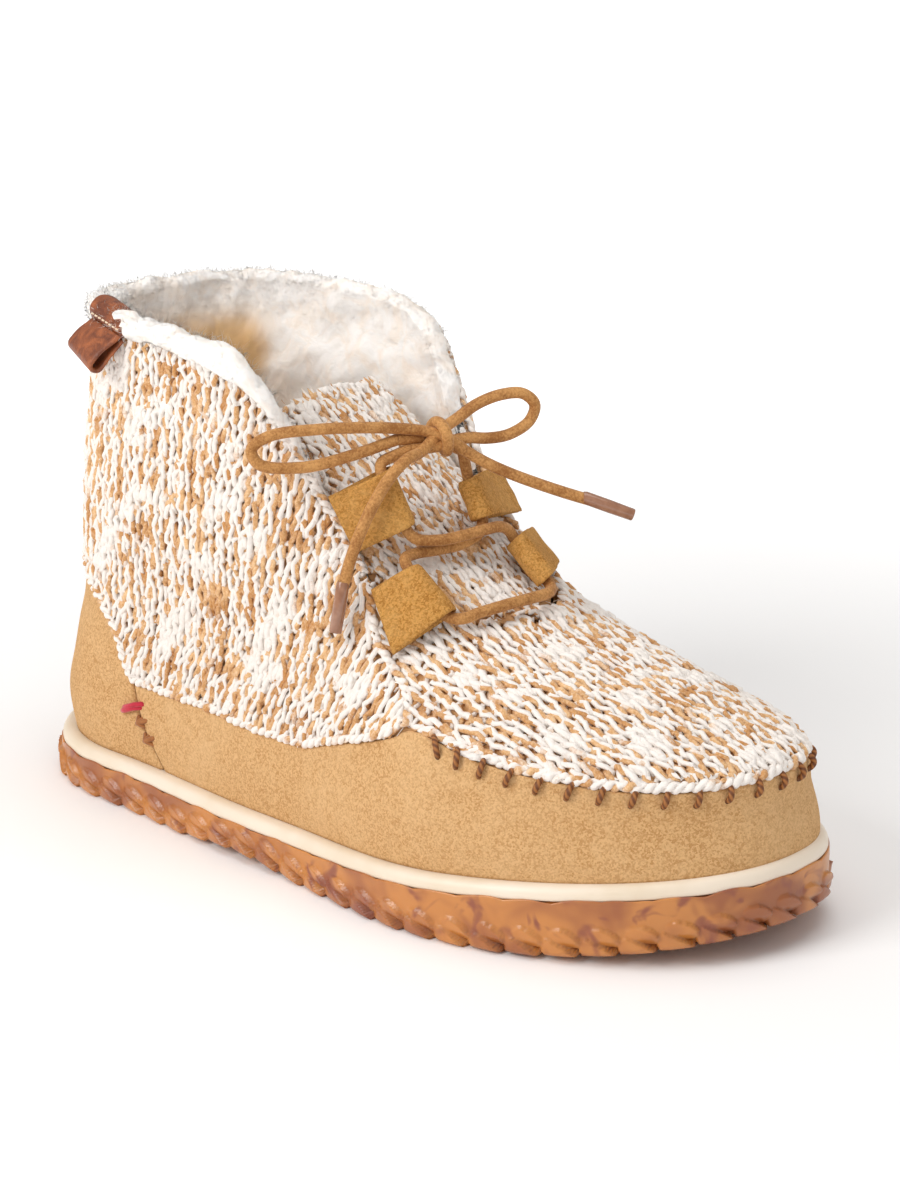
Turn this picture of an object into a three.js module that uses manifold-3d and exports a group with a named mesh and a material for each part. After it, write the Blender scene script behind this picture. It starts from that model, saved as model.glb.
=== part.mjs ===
// Lace-up slipper boot of chunky knit and suede with a fleece lining, for the right foot.
// Millimetres. +X points to the toe, +Y to the inner (big toe) side, +Z up, and z = 0 is the ground.

import * as THREE from "three";
import { mergeVertices } from "three/addons/utils/BufferGeometryUtils.js";
import Module from "manifold-3d";

const wasm = await Module();
wasm.setup();

// Driving dimensions
const MIDDLE_Y = -0.15; // moves the shoe sideways so that its sole is centred on y = 0
const FEATHER_HEEL = 14.3; // top of the sole at the heel
const FEATHER_RISE = 11.2; // how much higher it is at the toe
const CREAM_HEIGHT = 4.2; // pale band between the gum rubber and the suede
const TOE_SPRING = 8.6; // how far the tread lifts off the ground at the toe
const ARCH_LIFT = 2.2; // how far the tread lifts off the ground under the arch
const LUG_HEIGHT = 3.6; // depth of the tread
const SEAT = 0.3; // gap between two pieces that rest on each other
const OVERLAY_GAP = 0.6; // gap behind a curved overlay

// Wall of the upper, measured outwards from the boot's outer skin
const WALL_INSIDE = -3.2;
const WALL_UNDER_SUEDE = -1.9;
const WALL_PLUG = -0.2;
const WALL_QUARTER = 0.5;
const SUEDE_INSIDE = WALL_UNDER_SUEDE + OVERLAY_GAP;
const SUEDE_OUTSIDE = 0.1;
const LINING_OUTSIDE = WALL_INSIDE - 1;
const LINING_INSIDE = -9.5;
const TONGUE_OUTSIDE = -1.2;
const TONGUE_INSIDE = -4.2;

const LACE_RADIUS = 1.6;
const AGLET_RADIUS = 1.9;

// Level slices of the boot: the ends, the half-widths at heel, waist and ball on the outer and inner
// side, the length of the rounded toe as a share of the slice, and how far the tip swings inwards.
const SLICES = table(
  ["z", "back", "front", "heel", "waistOut", "waistIn", "ballOut", "ballIn", "toeOut", "toeIn", "swing"],
  [
    [10, -122, 122, 37, 43, 38, 52, 47, 0.42, 0.34, 10],
    [26, -125, 125, 38.5, 44.5, 39.5, 54, 49, 0.42, 0.36, 10],
    [40, -122, 122, 38, 43, 39, 52, 47, 0.42, 0.38, 10],
    [48, -120, 122, 38, 42, 39, 50, 47, 0.42, 0.4, 9],
    [58, -117, 97, 37.5, 40.5, 38.5, 45.5, 44, 0.54, 0.54, 7],
    [72, -115, 48, 38, 40, 39, 42, 42, 0.48, 0.48, 4],
    [90, -113.5, 22, 39, 41, 40, 42, 42, 0.42, 0.42, 2],
    [110, -111, 9, 39, 41, 40, 42, 42, 0.42, 0.42, 1],
    [135, -108, 4, 39, 41, 40.5, 42, 42, 0.44, 0.44, 0],
    [165, -107, 2, 39, 41, 41, 42, 42, 0.44, 0.44, 0],
  ],
);
const SOLE = {
  back: -127.5, front: 127.5, heel: 41, waistOut: 47.5, waistIn: 42, ballOut: 56.5, ballIn: 51,
  toeOut: 0.42, toeIn: 0.36, swing: 10,
};

// Top edge of the suede: angle around the boot from the centre of the heel, and height.
const SUEDE_EDGE = table(["angle", "z"], [
  [0, 76], [18, 73], [30, 68], [38, 63], [44.5, 56.5], [47.5, 49.5], [50.5, 42], [52.5, 39], [60, 39],
  [70, 39.6], [80, 38.6], [88, 39], [96, 44.2], [106, 51], [111, 53.8], [113, 53.4], [117, 51.4],
  [122, 49.9], [128, 48.6], [137, 47.5], [147, 46.9], [157, 47], [167, 47.8], [180, 48],
]);
// Edge of the opening: along the collar, down the throat and across the end of the plug.
const QUARTER_TOP = table(["share", "angle", "z"], [
  [0, 0, 143], [0.3, 48, 143.5], [0.55, 88, 143], [0.66, 106, 141], [0.73, 118, 136], [0.79, 126, 127],
  [0.87, 136, 110], [0.94, 140, 96], [1, 139.5, 84],
]);
const PLUG_END = table(["share", "angle", "z"], [
  [0, 139.5, 84], [0.2, 147, 79], [0.5, 159, 75.5], [1, 180, 74],
]);
const QUARTER_TOE_ANGLE = 111; // where the front edge of the quarter meets the suede
// Side seam between counter and surround: angle at the top and at the bottom.
const COUNTER_SEAM_TOP = 52;
const COUNTER_SEAM_FOOT = 59.3;
// Lining: its upper edge follows the collar and then stays behind the throat.
const LINING_TOP = table(["share", "angle", "z", "rim"], [
  [0, 0, 143, 1], [0.35, 48, 143.5, 1], [0.6, 88, 143, 1], [0.72, 106, 141, 1], [0.78, 111, 139.5, 0.5],
  [0.82, 114, 137, 0], [0.88, 118, 127, 0], [0.94, 123, 108, 0], [1, 125, 90, 0],
]);
const LINING_FOOT_ANGLE = 84;

// The tongue leans back from the throat as it rises.
const TONGUE_TOP = 127;
const TONGUE_TOP_ANGLE = 155;
const TONGUE_LEAN = 34;
const TONGUE_LEAN_FROM = 76;

const MATERIALS = {
  gum: material(0xb87a48, 0.45),
  cream: material(0xeee4d2, 0.6),
  suede: material(0xd6aa6e, 0.95),
  keeper: material(0xc8913f, 0.95),
  knit: material(0xe6d3bd, 0.95),
  fleece: material(0xeee4dc, 1.0),
  insole: material(0xe0d2bf, 1.0),
  lace: material(0xaa7846, 0.6),
  aglet: material(0xcdbcae, 0.35),
  leather: material(0x7d4123, 0.65),
};

function material(color, roughness) {
  return new THREE.MeshStandardMaterial({ color, roughness, metalness: 0 });
}

// Rows of numbers under named columns
function table(columns, rows) {
  return rows.map((row) => Object.fromEntries(columns.map((name, i) => [name, row[i]])));
}

// A smooth curve through one column of a table, without overshoot
function curve(rows, along, column) {
  const x = rows.map((row) => row[along]);
  const y = rows.map((row) => row[column]);
  const last = x.length - 1;
  const rise = (i) => (y[i + 1] - y[i]) / (x[i + 1] - x[i]);
  const slope = x.map((_, i) => {
    if (i === 0 || i === last) return rise(i === 0 ? 0 : last - 1);
    const before = rise(i - 1);
    const after = rise(i);
    return before * after <= 0 ? 0 : (2 * before * after) / (before + after);
  });
  return (at) => {
    const q = Math.min(Math.max(at, x[0]), x[last]);
    let i = 0;
    while (i < last - 1 && q > x[i + 1]) i += 1;
    const step = x[i + 1] - x[i];
    const t = (q - x[i]) / step;
    const pull = t * t * (3 - 2 * t);
    const early = t * (1 - t) * (1 - t) * step * slope[i];
    const late = t * t * (t - 1) * step * slope[i + 1];
    return y[i] + (y[i + 1] - y[i]) * pull + early + late;
  };
}

function clamp(value, low = 0, high = 1) {
  return Math.min(Math.max(value, low), high);
}

function ease(value) {
  const t = clamp(value);
  return t * t * (3 - 2 * t);
}

function mix(a, b, t) {
  return a + (b - a) * t;
}

const sliceCurves = Object.fromEntries(
  Object.keys(SLICES[0]).filter((name) => name !== "z").map((name) => [name, curve(SLICES, "z", name)]),
);
const suedeEdge = curve(SUEDE_EDGE, "angle", "z");

function sliceAt(z) {
  return Object.fromEntries(Object.entries(sliceCurves).map(([name, at]) => [name, at(z)]));
}

// Point of an outline at an angle in degrees: 0 is the back of the heel, 180 the toe,
// and the outer side comes first. Both ends are superellipse arcs.
function outlinePoint(sizes, angle) {
  const turn = ((angle % 360) + 360) % 360;
  const outer = turn <= 180;
  const share = (1 - Math.cos(THREE.MathUtils.degToRad(turn))) / 2;
  const waist = outer ? sizes.waistOut : sizes.waistIn;
  const ball = outer ? sizes.ballOut : sizes.ballIn;
  const round = outer ? sizes.toeOut : sizes.toeIn;
  const length = sizes.front - sizes.back;
  let width = mix(sizes.heel, waist, ease((share - 0.15) / 0.3));
  width += (ball - waist) * ease((share - 0.42) / 0.3);
  const intoHeel = clamp(1 - (share * length) / (sizes.heel * 1.05));
  const intoToe = clamp(1 - (1 - share) / round);
  const heelArc = (1 - intoHeel ** 2.2) ** (1 / 2.2);
  const toeArc = (1 - intoToe ** 2.2) ** (1 / 2.2);
  const half = width * heelArc * toeArc;
  const swing = sizes.swing * clamp((share - 0.4) / 0.6) ** 2;
  return { x: sizes.back + length * share, y: (outer ? -half : half) + swing + MIDDLE_Y };
}

// The boot's outer skin at an angle and a height
function skin(angle, z) {
  const { x, y } = outlinePoint(sliceAt(z), angle);
  return new THREE.Vector3(x, y, z);
}

// The tongue's own skin: the boot's skin, leaning back with height
function tongueSkin(angle, z) {
  const point = skin(angle, z);
  const share = clamp((z - TONGUE_LEAN_FROM) / (TONGUE_TOP - TONGUE_LEAN_FROM));
  point.x -= TONGUE_LEAN * share ** 1.8;
  return point;
}

// A point at a distance outwards from a skin
function lifted(surface, angle, z, distance) {
  const around = surface(angle + 0.4, z).sub(surface(angle - 0.4, z));
  const up = surface(angle, z + 0.3).sub(surface(angle, z - 0.3));
  const normal = around.cross(up).normalize();
  return surface(angle, z).addScaledVector(normal, distance);
}

function soleTop(x) {
  return FEATHER_HEEL + FEATHER_RISE * clamp((x / 255 + 0.5 - 0.45) / 0.55) ** 1.5;
}

function ground(x) {
  const share = x / 255 + 0.5;
  const arch = Math.sin(Math.PI * clamp((share - 0.28) / 0.24)) ** 2;
  return TOE_SPRING * clamp((share - 0.72) / 0.28) ** 2 + ARCH_LIFT * arch;
}

// Height at which the skin meets the sole, at an angle
function feather(angle) {
  let z = FEATHER_HEEL;
  for (let turn = 0; turn < 6; turn += 1) z = soleTop(skin(angle, z).x);
  return z + SEAT;
}

// A closed geometry from corners and triangles, welded, without flat triangles, faces outwards
function solid(corners, triangles) {
  const raw = new THREE.BufferGeometry();
  raw.setAttribute("position", new THREE.Float32BufferAttribute(corners.flatMap((p) => [p.x, p.y, p.z]), 3));
  raw.setIndex(triangles.flat());
  const welded = mergeVertices(raw, 1e-3);
  const old = welded.index.array;
  const kept = [];
  for (let i = 0; i < old.length; i += 3) {
    const [a, b, c] = [old[i], old[i + 1], old[i + 2]];
    if (a !== b && b !== c && c !== a) kept.push([a, b, c]);
  }
  const corner = (i) => new THREE.Vector3().fromBufferAttribute(welded.attributes.position, i);
  const volume = kept.reduce((sum, [a, b, c]) => sum + corner(a).dot(corner(b).cross(corner(c))), 0);
  welded.setIndex((volume < 0 ? kept.map(([a, b, c]) => [a, c, b]) : kept).flat());
  welded.computeVertexNormals();
  return welded;
}

// A curved sheet with thickness: rows of { outer, inner } points, closed into a ring or not
function sheet(rows, ring = false) {
  const across = rows[0].length;
  const corners = [...rows.flat().map((p) => p.outer), ...rows.flat().map((p) => p.inner)];
  const inside = rows.length * across;
  const at = (i, j) => i * across + (j % across);
  const triangles = [];
  const quad = (a, b, c, d) => triangles.push([a, b, c], [a, c, d]);
  const columns = ring ? across : across - 1;
  for (let j = 0; j < columns; j += 1) {
    for (let i = 0; i + 1 < rows.length; i += 1) {
      quad(at(i, j), at(i, j + 1), at(i + 1, j + 1), at(i + 1, j));
      quad(inside + at(i, j), inside + at(i + 1, j), inside + at(i + 1, j + 1), inside + at(i, j + 1));
    }
    const top = rows.length - 1;
    quad(at(0, j), inside + at(0, j), inside + at(0, j + 1), at(0, j + 1));
    quad(at(top, j), at(top, j + 1), inside + at(top, j + 1), inside + at(top, j));
  }
  if (!ring) {
    const end = across - 1;
    for (let i = 0; i + 1 < rows.length; i += 1) {
      quad(at(i, 0), at(i + 1, 0), inside + at(i + 1, 0), inside + at(i, 0));
      quad(at(i, end), inside + at(i, end), inside + at(i + 1, end), at(i + 1, end));
    }
  }
  return solid(corners, triangles);
}

// A slab between level outlines: each ring runs from heel to toe on the outer side and back on the inner
function slab(rings) {
  const count = rings[0].length;
  const half = count / 2;
  const triangles = [];
  const quad = (a, b, c, d) => triangles.push([a, b, c], [a, c, d]);
  const at = (ring, k) => ring * count + ((k + count) % count);
  for (let ring = 0; ring + 1 < rings.length; ring += 1) {
    for (let k = 0; k < count; k += 1) {
      quad(at(ring, k), at(ring, k + 1), at(ring + 1, k + 1), at(ring + 1, k));
    }
  }
  const top = rings.length - 1;
  for (let k = 0; k < half; k += 1) {
    quad(at(0, k), at(0, -k), at(0, -k - 1), at(0, k + 1));
    quad(at(top, k), at(top, k + 1), at(top, -k - 1), at(top, -k));
  }
  return solid(rings.flat(), triangles);
}

// A straight-sided block between two outlines with the same number of corners
function prism(bottom, top) {
  const n = bottom.length;
  const triangles = [];
  for (let k = 0; k < n; k += 1) {
    const next = (k + 1) % n;
    triangles.push([k, next, n + next], [k, n + next, n + k]);
    if (k > 0 && k + 1 < n) triangles.push([0, k + 1, k], [n, n + k, n + k + 1]);
  }
  return solid([...bottom, ...top], triangles);
}

function body(geometry) {
  return new wasm.Manifold(new wasm.Mesh({
    numProp: 3,
    vertProperties: Float32Array.from(geometry.attributes.position.array),
    triVerts: Uint32Array.from(geometry.index.array),
  }));
}

function shape(manifold) {
  const mesh = manifold.getMesh();
  const geometry = new THREE.BufferGeometry();
  geometry.setAttribute("position", new THREE.Float32BufferAttribute(mesh.vertProperties, 3));
  geometry.setIndex(Array.from(mesh.triVerts));
  geometry.computeVertexNormals();
  return geometry;
}

// A round cord along hand-placed points
function cord(points, radius, steps, sides = 8) {
  const path = new THREE.CatmullRomCurve3(points.map((p) => new THREE.Vector3(...p)), false, "centripetal");
  const section = new THREE.Shape();
  for (let k = 0; k < sides; k += 1) {
    const turn = (2 * Math.PI * k) / sides;
    const move = k === 0 ? "moveTo" : "lineTo";
    section[move](radius * Math.cos(turn), radius * Math.sin(turn));
  }
  section.closePath();
  const geometry = new THREE.ExtrudeGeometry(section, { steps, extrudePath: path, bevelEnabled: false });
  geometry.deleteAttribute("normal");
  geometry.deleteAttribute("uv");
  const welded = mergeVertices(geometry, 1e-3);
  welded.computeVertexNormals();
  return welded;
}

// Outline of the sole at an angle, moved inwards
function soleEdge(angle, inset) {
  const point = outlinePoint(SOLE, angle);
  const before = outlinePoint(SOLE, angle - 0.5);
  const after = outlinePoint(SOLE, angle + 0.5);
  const out = new THREE.Vector2(after.y - before.y, before.x - after.x).normalize();
  return new THREE.Vector2(point.x - out.x * inset, point.y - out.y * inset);
}

function soleRing(inset, height, count = 64) {
  return Array.from({ length: count }, (_, k) => {
    const { x, y } = soleEdge((360 * k) / count, inset);
    return new THREE.Vector3(x, y, height(x));
  });
}

// A leaf-shaped lug of the tread, pointed at both ends
function lug(x, y, turn, length, width, height) {
  const leaf = [[-0.5, 0], [-0.18, 0.5], [0.18, 0.5], [0.5, 0], [0.18, -0.5], [-0.18, -0.5]];
  const corner = ([u, v], grow, lift) => {
    const along = u * length * grow;
    const over = v * width * grow;
    const px = x + along * Math.cos(turn) - over * Math.sin(turn);
    const py = y + along * Math.sin(turn) + over * Math.cos(turn);
    return new THREE.Vector3(px, py, ground(x) + lift);
  };
  return prism(leaf.map((p) => corner(p, 0.88, 0)), leaf.map((p) => corner(p, 1, height)));
}

// Gum rubber tread: a slab with a rounded lower edge, leaf lugs around its rim and down its middle
function outsole() {
  const gumTop = (x) => soleTop(x) - CREAM_HEIGHT - SEAT;
  const base = slab([
    soleRing(4, (x) => ground(x) + LUG_HEIGHT),
    soleRing(1.2, (x) => ground(x) + LUG_HEIGHT + 0.6),
    soleRing(0.2, (x) => ground(x) + LUG_HEIGHT + 2.4),
    soleRing(0, (x) => gumTop(x) - 1.2),
    soleRing(0.8, gumTop),
  ]);
  let tread = body(base);
  const rim = new THREE.CatmullRomCurve3(soleRing(5.4, () => 0, 72), true);
  const rimLugs = 30;
  for (let k = 0; k < rimLugs; k += 1) {
    const spot = rim.getPointAt((k + 0.5) / rimLugs);
    const ahead = rim.getTangentAt((k + 0.5) / rimLugs);
    const turn = Math.atan2(ahead.y, ahead.x) + 0.55;
    tread = tread.add(body(lug(spot.x, spot.y, turn, 19, 11, LUG_HEIGHT + 3.4)));
  }
  const rows = [-100, -78, -56, 22, 44, 66, 88];
  rows.forEach((x) => {
    for (const side of [-1, 1]) {
      const y = MIDDLE_Y + side * 11 + (x > 60 ? 3 : 0);
      tread = tread.add(body(lug(x, y, side * 0.9, 21, 12, LUG_HEIGHT + 1)));
    }
  });
  return shape(tread);
}

// Smooth pale band above the gum rubber
function midsole() {
  const base = (x) => soleTop(x) - CREAM_HEIGHT;
  return slab([
    soleRing(0.8, base),
    soleRing(0.2, (x) => base(x) + 1),
    soleRing(0.5, (x) => base(x) + 2.6),
    soleRing(1.2, (x) => soleTop(x) - 0.7),
    soleRing(2, soleTop),
  ]);
}

// Padded footbed inside the wall of the upper
function insole() {
  const ring = (inset, lift) => Array.from({ length: 48 }, (_, k) => {
    const angle = (360 * k) / 48;
    const point = lifted(skin, angle, feather(angle) + 2, inset);
    point.z = soleTop(point.x) + lift;
    return point;
  });
  return slab([
    ring(WALL_INSIDE - 0.7, SEAT), ring(WALL_INSIDE - 0.7, 3), ring(WALL_INSIDE - 2.4, 4.4),
  ]);
}

// Columns of the upper on one side, from the heel to the toe. Each has an angle at the suede edge, an
// angle and a height at the opening, and the outer face of the wall there.
const quarterAngle = curve(QUARTER_TOP, "share", "angle");
const quarterHeight = curve(QUARTER_TOP, "share", "z");
const plugAngle = curve(PLUG_END, "share", "angle");
const plugHeight = curve(PLUG_END, "share", "z");

function upperColumns() {
  const quarterCount = 15;
  const plugCount = 12;
  const columns = [];
  for (let k = 0; k <= quarterCount; k += 1) {
    const share = k / quarterCount;
    const low = QUARTER_TOE_ANGLE * share;
    columns.push({ low, high: quarterAngle(share), top: quarterHeight(share), outer: WALL_QUARTER });
  }
  for (let k = 0; k <= plugCount; k += 1) {
    const share = k / plugCount;
    const low = mix(QUARTER_TOE_ANGLE, 180, share);
    columns.push({ low, high: plugAngle(share), top: plugHeight(share), outer: WALL_PLUG });
  }
  return columns;
}

// One hollow wall: backing under the suede, quarters that wrap the heel, and the plug over the toes
function upper() {
  const side = upperColumns();
  const around = [...side, ...side.slice(1, -1).reverse().map((c) => ({ ...c, inner: true }))];
  const footRows = 4;
  const wallRows = 9;
  const node = (column, angle, z, outer) => {
    const turn = column.inner ? 360 - angle : angle;
    return { outer: lifted(skin, turn, z, outer), inner: lifted(skin, turn, z, WALL_INSIDE) };
  };
  const rows = [];
  for (let i = 0; i <= footRows; i += 1) {
    rows.push(around.map((c) => {
      const foot = feather(c.inner ? 360 - c.low : c.low);
      return node(c, c.low, mix(foot, suedeEdge(c.low), i / footRows), WALL_UNDER_SUEDE);
    }));
  }
  for (let i = 0; i <= wallRows; i += 1) {
    const share = i / wallRows;
    rows.push(around.map((c) => {
      const edge = suedeEdge(c.low);
      const face = i === 0 ? WALL_PLUG : c.outer;
      return node(c, mix(c.low, c.high, share), mix(edge, c.top, share), face);
    }));
  }
  return sheet(rows, true);
}

// Suede cut between the sole and the suede edge, from one angle to another
function suedePanel(fromTop, toTop, fromFoot, toFoot, columns) {
  const rows = [];
  const count = 4;
  for (let i = 0; i <= count; i += 1) {
    const share = i / count;
    rows.push(Array.from({ length: columns + 1 }, (_, j) => {
      const across = j / columns;
      const topAngle = mix(fromTop, toTop, across);
      const angle = mix(mix(fromFoot, toFoot, across), topAngle, share);
      const foot = feather(angle);
      const seamAngle = topAngle > 180 ? 360 - topAngle : Math.abs(topAngle);
      const edge = suedeEdge(seamAngle) - (seamAngle < 55 ? 1.9 : OVERLAY_GAP);
      const z = mix(foot, edge, share);
      return { outer: lifted(skin, angle, z, SUEDE_OUTSIDE), inner: lifted(skin, angle, z, SUEDE_INSIDE) };
    }));
  }
  return sheet(rows);
}

function tongue() {
  const rows = [];
  const count = 7;
  const columns = 14;
  for (let i = 0; i <= count; i += 1) {
    const share = i / count;
    rows.push(Array.from({ length: columns + 1 }, (_, j) => {
      const across = (2 * j) / columns - 1;
      const plugShare = 1 - Math.abs(across);
      const foot = plugAngle(plugShare) + (1 - plugShare) * 2.2;
      const low = plugHeight(plugShare) + mix(0.8, 1.6, Math.abs(across));
      const half = mix(180 - foot, (180 - TONGUE_TOP_ANGLE) * Math.abs(across), share);
      const angle = 180 + Math.sign(across) * half;
      const z = mix(low, TONGUE_TOP - 3 * across * across, share);
      return {
        outer: lifted(tongueSkin, angle, z, TONGUE_OUTSIDE),
        inner: lifted(tongueSkin, angle, z, TONGUE_INSIDE),
      };
    }));
  }
  return sheet(rows);
}

// Fleece sleeve with a lumpy inside and a rim that rolls over the collar
function fleeceLining() {
  const at = Object.fromEntries(["angle", "z", "rim"].map((name) => [name, curve(LINING_TOP, "share", name)]));
  const columns = 36;
  const wallRows = 7;
  const rim = [
    { rise: 0.6, outer: LINING_OUTSIDE, inner: LINING_INSIDE },
    { rise: 0.9, outer: -0.6, inner: LINING_INSIDE - 0.6 },
    { rise: 3.6, outer: -0.4, inner: LINING_INSIDE - 0.4 },
    { rise: 5.6, outer: -3.4, inner: LINING_INSIDE + 2 },
  ];
  const rows = [];
  const lump = (angle, z) => 0.9 * Math.sin(0.31 * angle + 0.2 * z) * Math.cos(0.42 * z - 0.12 * angle);
  const column = (j) => (2 * j) / columns - 1;
  const node = (angle, z, outer, inner) => ({
    outer: lifted(skin, angle, z, outer),
    inner: lifted(skin, angle, z, inner + lump(angle, z)),
  });
  for (let i = 0; i <= wallRows; i += 1) {
    rows.push(Array.from({ length: columns + 1 }, (_, j) => {
      const share = Math.abs(column(j));
      const angle = mix(LINING_FOOT_ANGLE * share, at.angle(share), i / wallRows) * Math.sign(column(j));
      const foot = feather(LINING_FOOT_ANGLE * column(j)) + 6;
      const outer = LINING_OUTSIDE - ease((share - 0.7) / 0.3);
      return node(angle, mix(foot, at.z(share), i / wallRows), outer, LINING_INSIDE);
    }));
  }
  rim.forEach(({ rise, outer, inner }) => {
    rows.push(Array.from({ length: columns + 1 }, (_, j) => {
      const share = Math.abs(column(j));
      const roll = at.rim(share);
      const face = mix(LINING_OUTSIDE - ease((share - 0.7) / 0.3), outer, roll);
      const edge = at.z(share) + (roll > 0 ? rise + 0.3 : 0.5 * rise);
      return node(at.angle(share) * Math.sign(column(j)), edge, face, inner);
    }));
  });
  return sheet(rows);
}

// A point of the skin in front of the throat, at a side position and a height
function throatPoint(y, z, distance) {
  let near = 95;
  let far = 180;
  const side = y < 0 ? 1 : -1;
  for (let turn = 0; turn < 40; turn += 1) {
    const middle = (near + far) / 2;
    const reached = skin(side * middle, z).y * side;
    if (reached < y * side) near = middle;
    else far = middle;
  }
  return lifted(skin, side * near, z, distance);
}

// A strap folded back on itself, with a tunnel along its fold
function foldedStrap(rear, front, normal, thickness, radius, hole) {
  const sides = 12;
  const sections = rear.map((back, k) => {
    const tip = front[k];
    const along = tip.clone().sub(back);
    const reach = along.length();
    along.normalize();
    const out = normal.clone().addScaledVector(along, -normal.dot(along)).normalize();
    const place = (a, b) => back.clone().addScaledVector(along, a).addScaledVector(out, b);
    const ring = [];
    const bore = [];
    for (let i = 0; i < sides; i += 1) {
      const turn = (2 * Math.PI * (i + 0.5)) / sides;
      const c = Math.cos(turn);
      const s = Math.sin(turn);
      const behind = c < -0.6;
      ring.push(behind ? place(0, (thickness / 2) * Math.sign(s)) : place(reach + radius * c, radius * s));
      bore.push(place(reach + hole * c, hole * s));
    }
    return { ring, bore };
  });
  const corners = sections.flatMap(({ ring, bore }) => [...ring, ...bore]);
  const triangles = [];
  const quad = (a, b, c, d) => triangles.push([a, b, c], [a, c, d]);
  const step = 2 * sides;
  for (let i = 0; i < sides; i += 1) {
    const next = (i + 1) % sides;
    for (let k = 0; k + 1 < sections.length; k += 1) {
      const a = k * step;
      quad(a + i, a + next, a + step + next, a + step + i);
      quad(a + sides + i, a + step + sides + i, a + step + sides + next, a + sides + next);
    }
    const end = (sections.length - 1) * step;
    quad(i, sides + i, sides + next, next);
    quad(end + i, end + next, end + sides + next, end + sides + i);
  }
  return solid(corners, triangles);
}

// Lace keepers: side position and height of the rear corners and of the fold, top corner first
const KEEPERS = {
  keeper_outer_top: { rear: [[-30.4, 106.1], [-29.6, 91.5]], fold: [[-19.5, 112.4], [-18.5, 96.5]] },
  keeper_outer_low: { rear: [[-30.1, 82.4], [-34.5, 67.1]], fold: [[-22.1, 86.3], [-21.5, 75.3]] },
  keeper_inner_top: { rear: [[31, 101.5], [31.5, 89]], fold: [[5, 105], [3.5, 94.5]] },
  keeper_inner_low: { rear: [[31, 85], [31, 76.5]], fold: [[10.5, 87.5], [10, 78]] },
};
const KEEPER_THICKNESS = 1.8;
const KEEPER_FOLD_RADIUS = 3.3;
const KEEPER_HOLE = 2.3;
const KEEPER_REAR_LIFT = WALL_QUARTER + KEEPER_THICKNESS / 2 + 1.4;
const KEEPER_FOLD_LIFT = 4.6;

function keeper({ rear, fold }) {
  const back = rear.map(([y, z]) => throatPoint(y, z, KEEPER_REAR_LIFT));
  const front = fold.map(([y, z]) => throatPoint(y, z, KEEPER_FOLD_LIFT));
  const normal = throatPoint(fold[0][0], fold[0][1], 10).sub(throatPoint(fold[0][0], fold[0][1], 0)).normalize();
  return foldedStrap(back, front, normal, KEEPER_THICKNESS, KEEPER_FOLD_RADIUS, KEEPER_HOLE);
}

// Pull tab at the back of the collar, a folded leather strap
function pullTab() {
  const rear = [new THREE.Vector3(-86.9, -37.9, 143.4), new THREE.Vector3(-70.2, -42.9, 141.4)];
  const front = [new THREE.Vector3(-90, -42.8, 137.6), new THREE.Vector3(-74.1, -49, 134)];
  const normal = new THREE.Vector3(-0.11, -0.675, 0.73).normalize();
  return foldedStrap(rear, front, normal, 3, 2.4, 1.1);
}

// Lace between the keepers in one run, points by hand: down through the outer top keeper, over to the
// inner low one, along the bottom bar, up the outer low one and under the first crossing to the inner top.
const LACE_RUN = [
  [10, -12.8, 118.2], [8.4, -17.4, 117], [6.9, -20.8, 115.5], [7.45, -21.66, 113.38], [11.2, -21.05, 106.15], [15, -20.45, 98.9],
  [17.2, -18.6, 95.8], [20.8, -13, 94.8], [23.6, -6, 95.2], [25.2, 1, 95.6], [25.6, 6.5, 95.2],
  [25.6, 10, 93.4], [26.8, 11.15, 90.8], [32.8, 10.8, 86.35], [38.8, 10.5, 81.9], [41.2, 9.8, 80.2],
  [42.6, 7, 79.8], [42.2, 0, 79.8], [40.6, -8, 79.6], [38.2, -16, 78.8], [36, -21.4, 77.9],
  [33.1, -23.8, 78.6], [26.6, -24.15, 83.8], [20.1, -24.5, 89], [17.6, -23.4, 91.2], [17.2, -18.6, 91.6],
  [19, -11, 91.4], [21, -4, 91.8], [22.6, 1.4, 94.2], [21.67, 3.62, 97.41], [18.34, 4.45, 102.25],
  [15, 5.3, 107.1], [13.8, 5.5, 110.4], [12.8, 5.4, 114.6],
];
// Free parts of the lace
const KNOT = { centre: [14, -5, 120], reach: [5.8, 7.8, 5.8] };
const OUTER_LOOP = [
  [9.4, -12.2, 123.6], [5, -22, 125.2], [-3, -36, 126], [-10.5, -46, 124.8], [-13.6, -49.6, 121.4],
  [-11.6, -49, 117.6], [-4, -40, 116.2], [3, -28, 118.4], [7.6, -15.6, 121],
];
const INNER_LOOP = [
  [14.8, 1, 125], [17.2, 6.6, 128.4], [20.6, 12.6, 130.4], [23.8, 17.8, 130.2], [25.8, 20.4, 127],
  [25.2, 19, 122.6], [22.6, 13.8, 119.4], [19.8, 8, 118.9], [17.6, 3.4, 119.6],
];
const OUTER_END = [
  [13.4, -13.4, 117.6], [14.2, -18.6, 117.4], [13, -24.4, 113], [11.6, -29.6, 106], [10.6, -34.2, 98],
  [10, -37.8, 90], [9.6, -40, 82.6],
];
const OUTER_AGLET = [[9.55, -40.1, 82.2], [9.1, -41.8, 73.2]];
const INNER_END = [
  [18.6, -0.2, 116.8], [22, 4.4, 113.2], [26.4, 9.6, 109.8], [31.6, 15.4, 106.6], [37.2, 21.4, 103.6],
  [43, 27.4, 100.9],
];
const INNER_AGLET = [[43.3, 27.7, 100.75], [49.8, 34.2, 97.2]];

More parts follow.
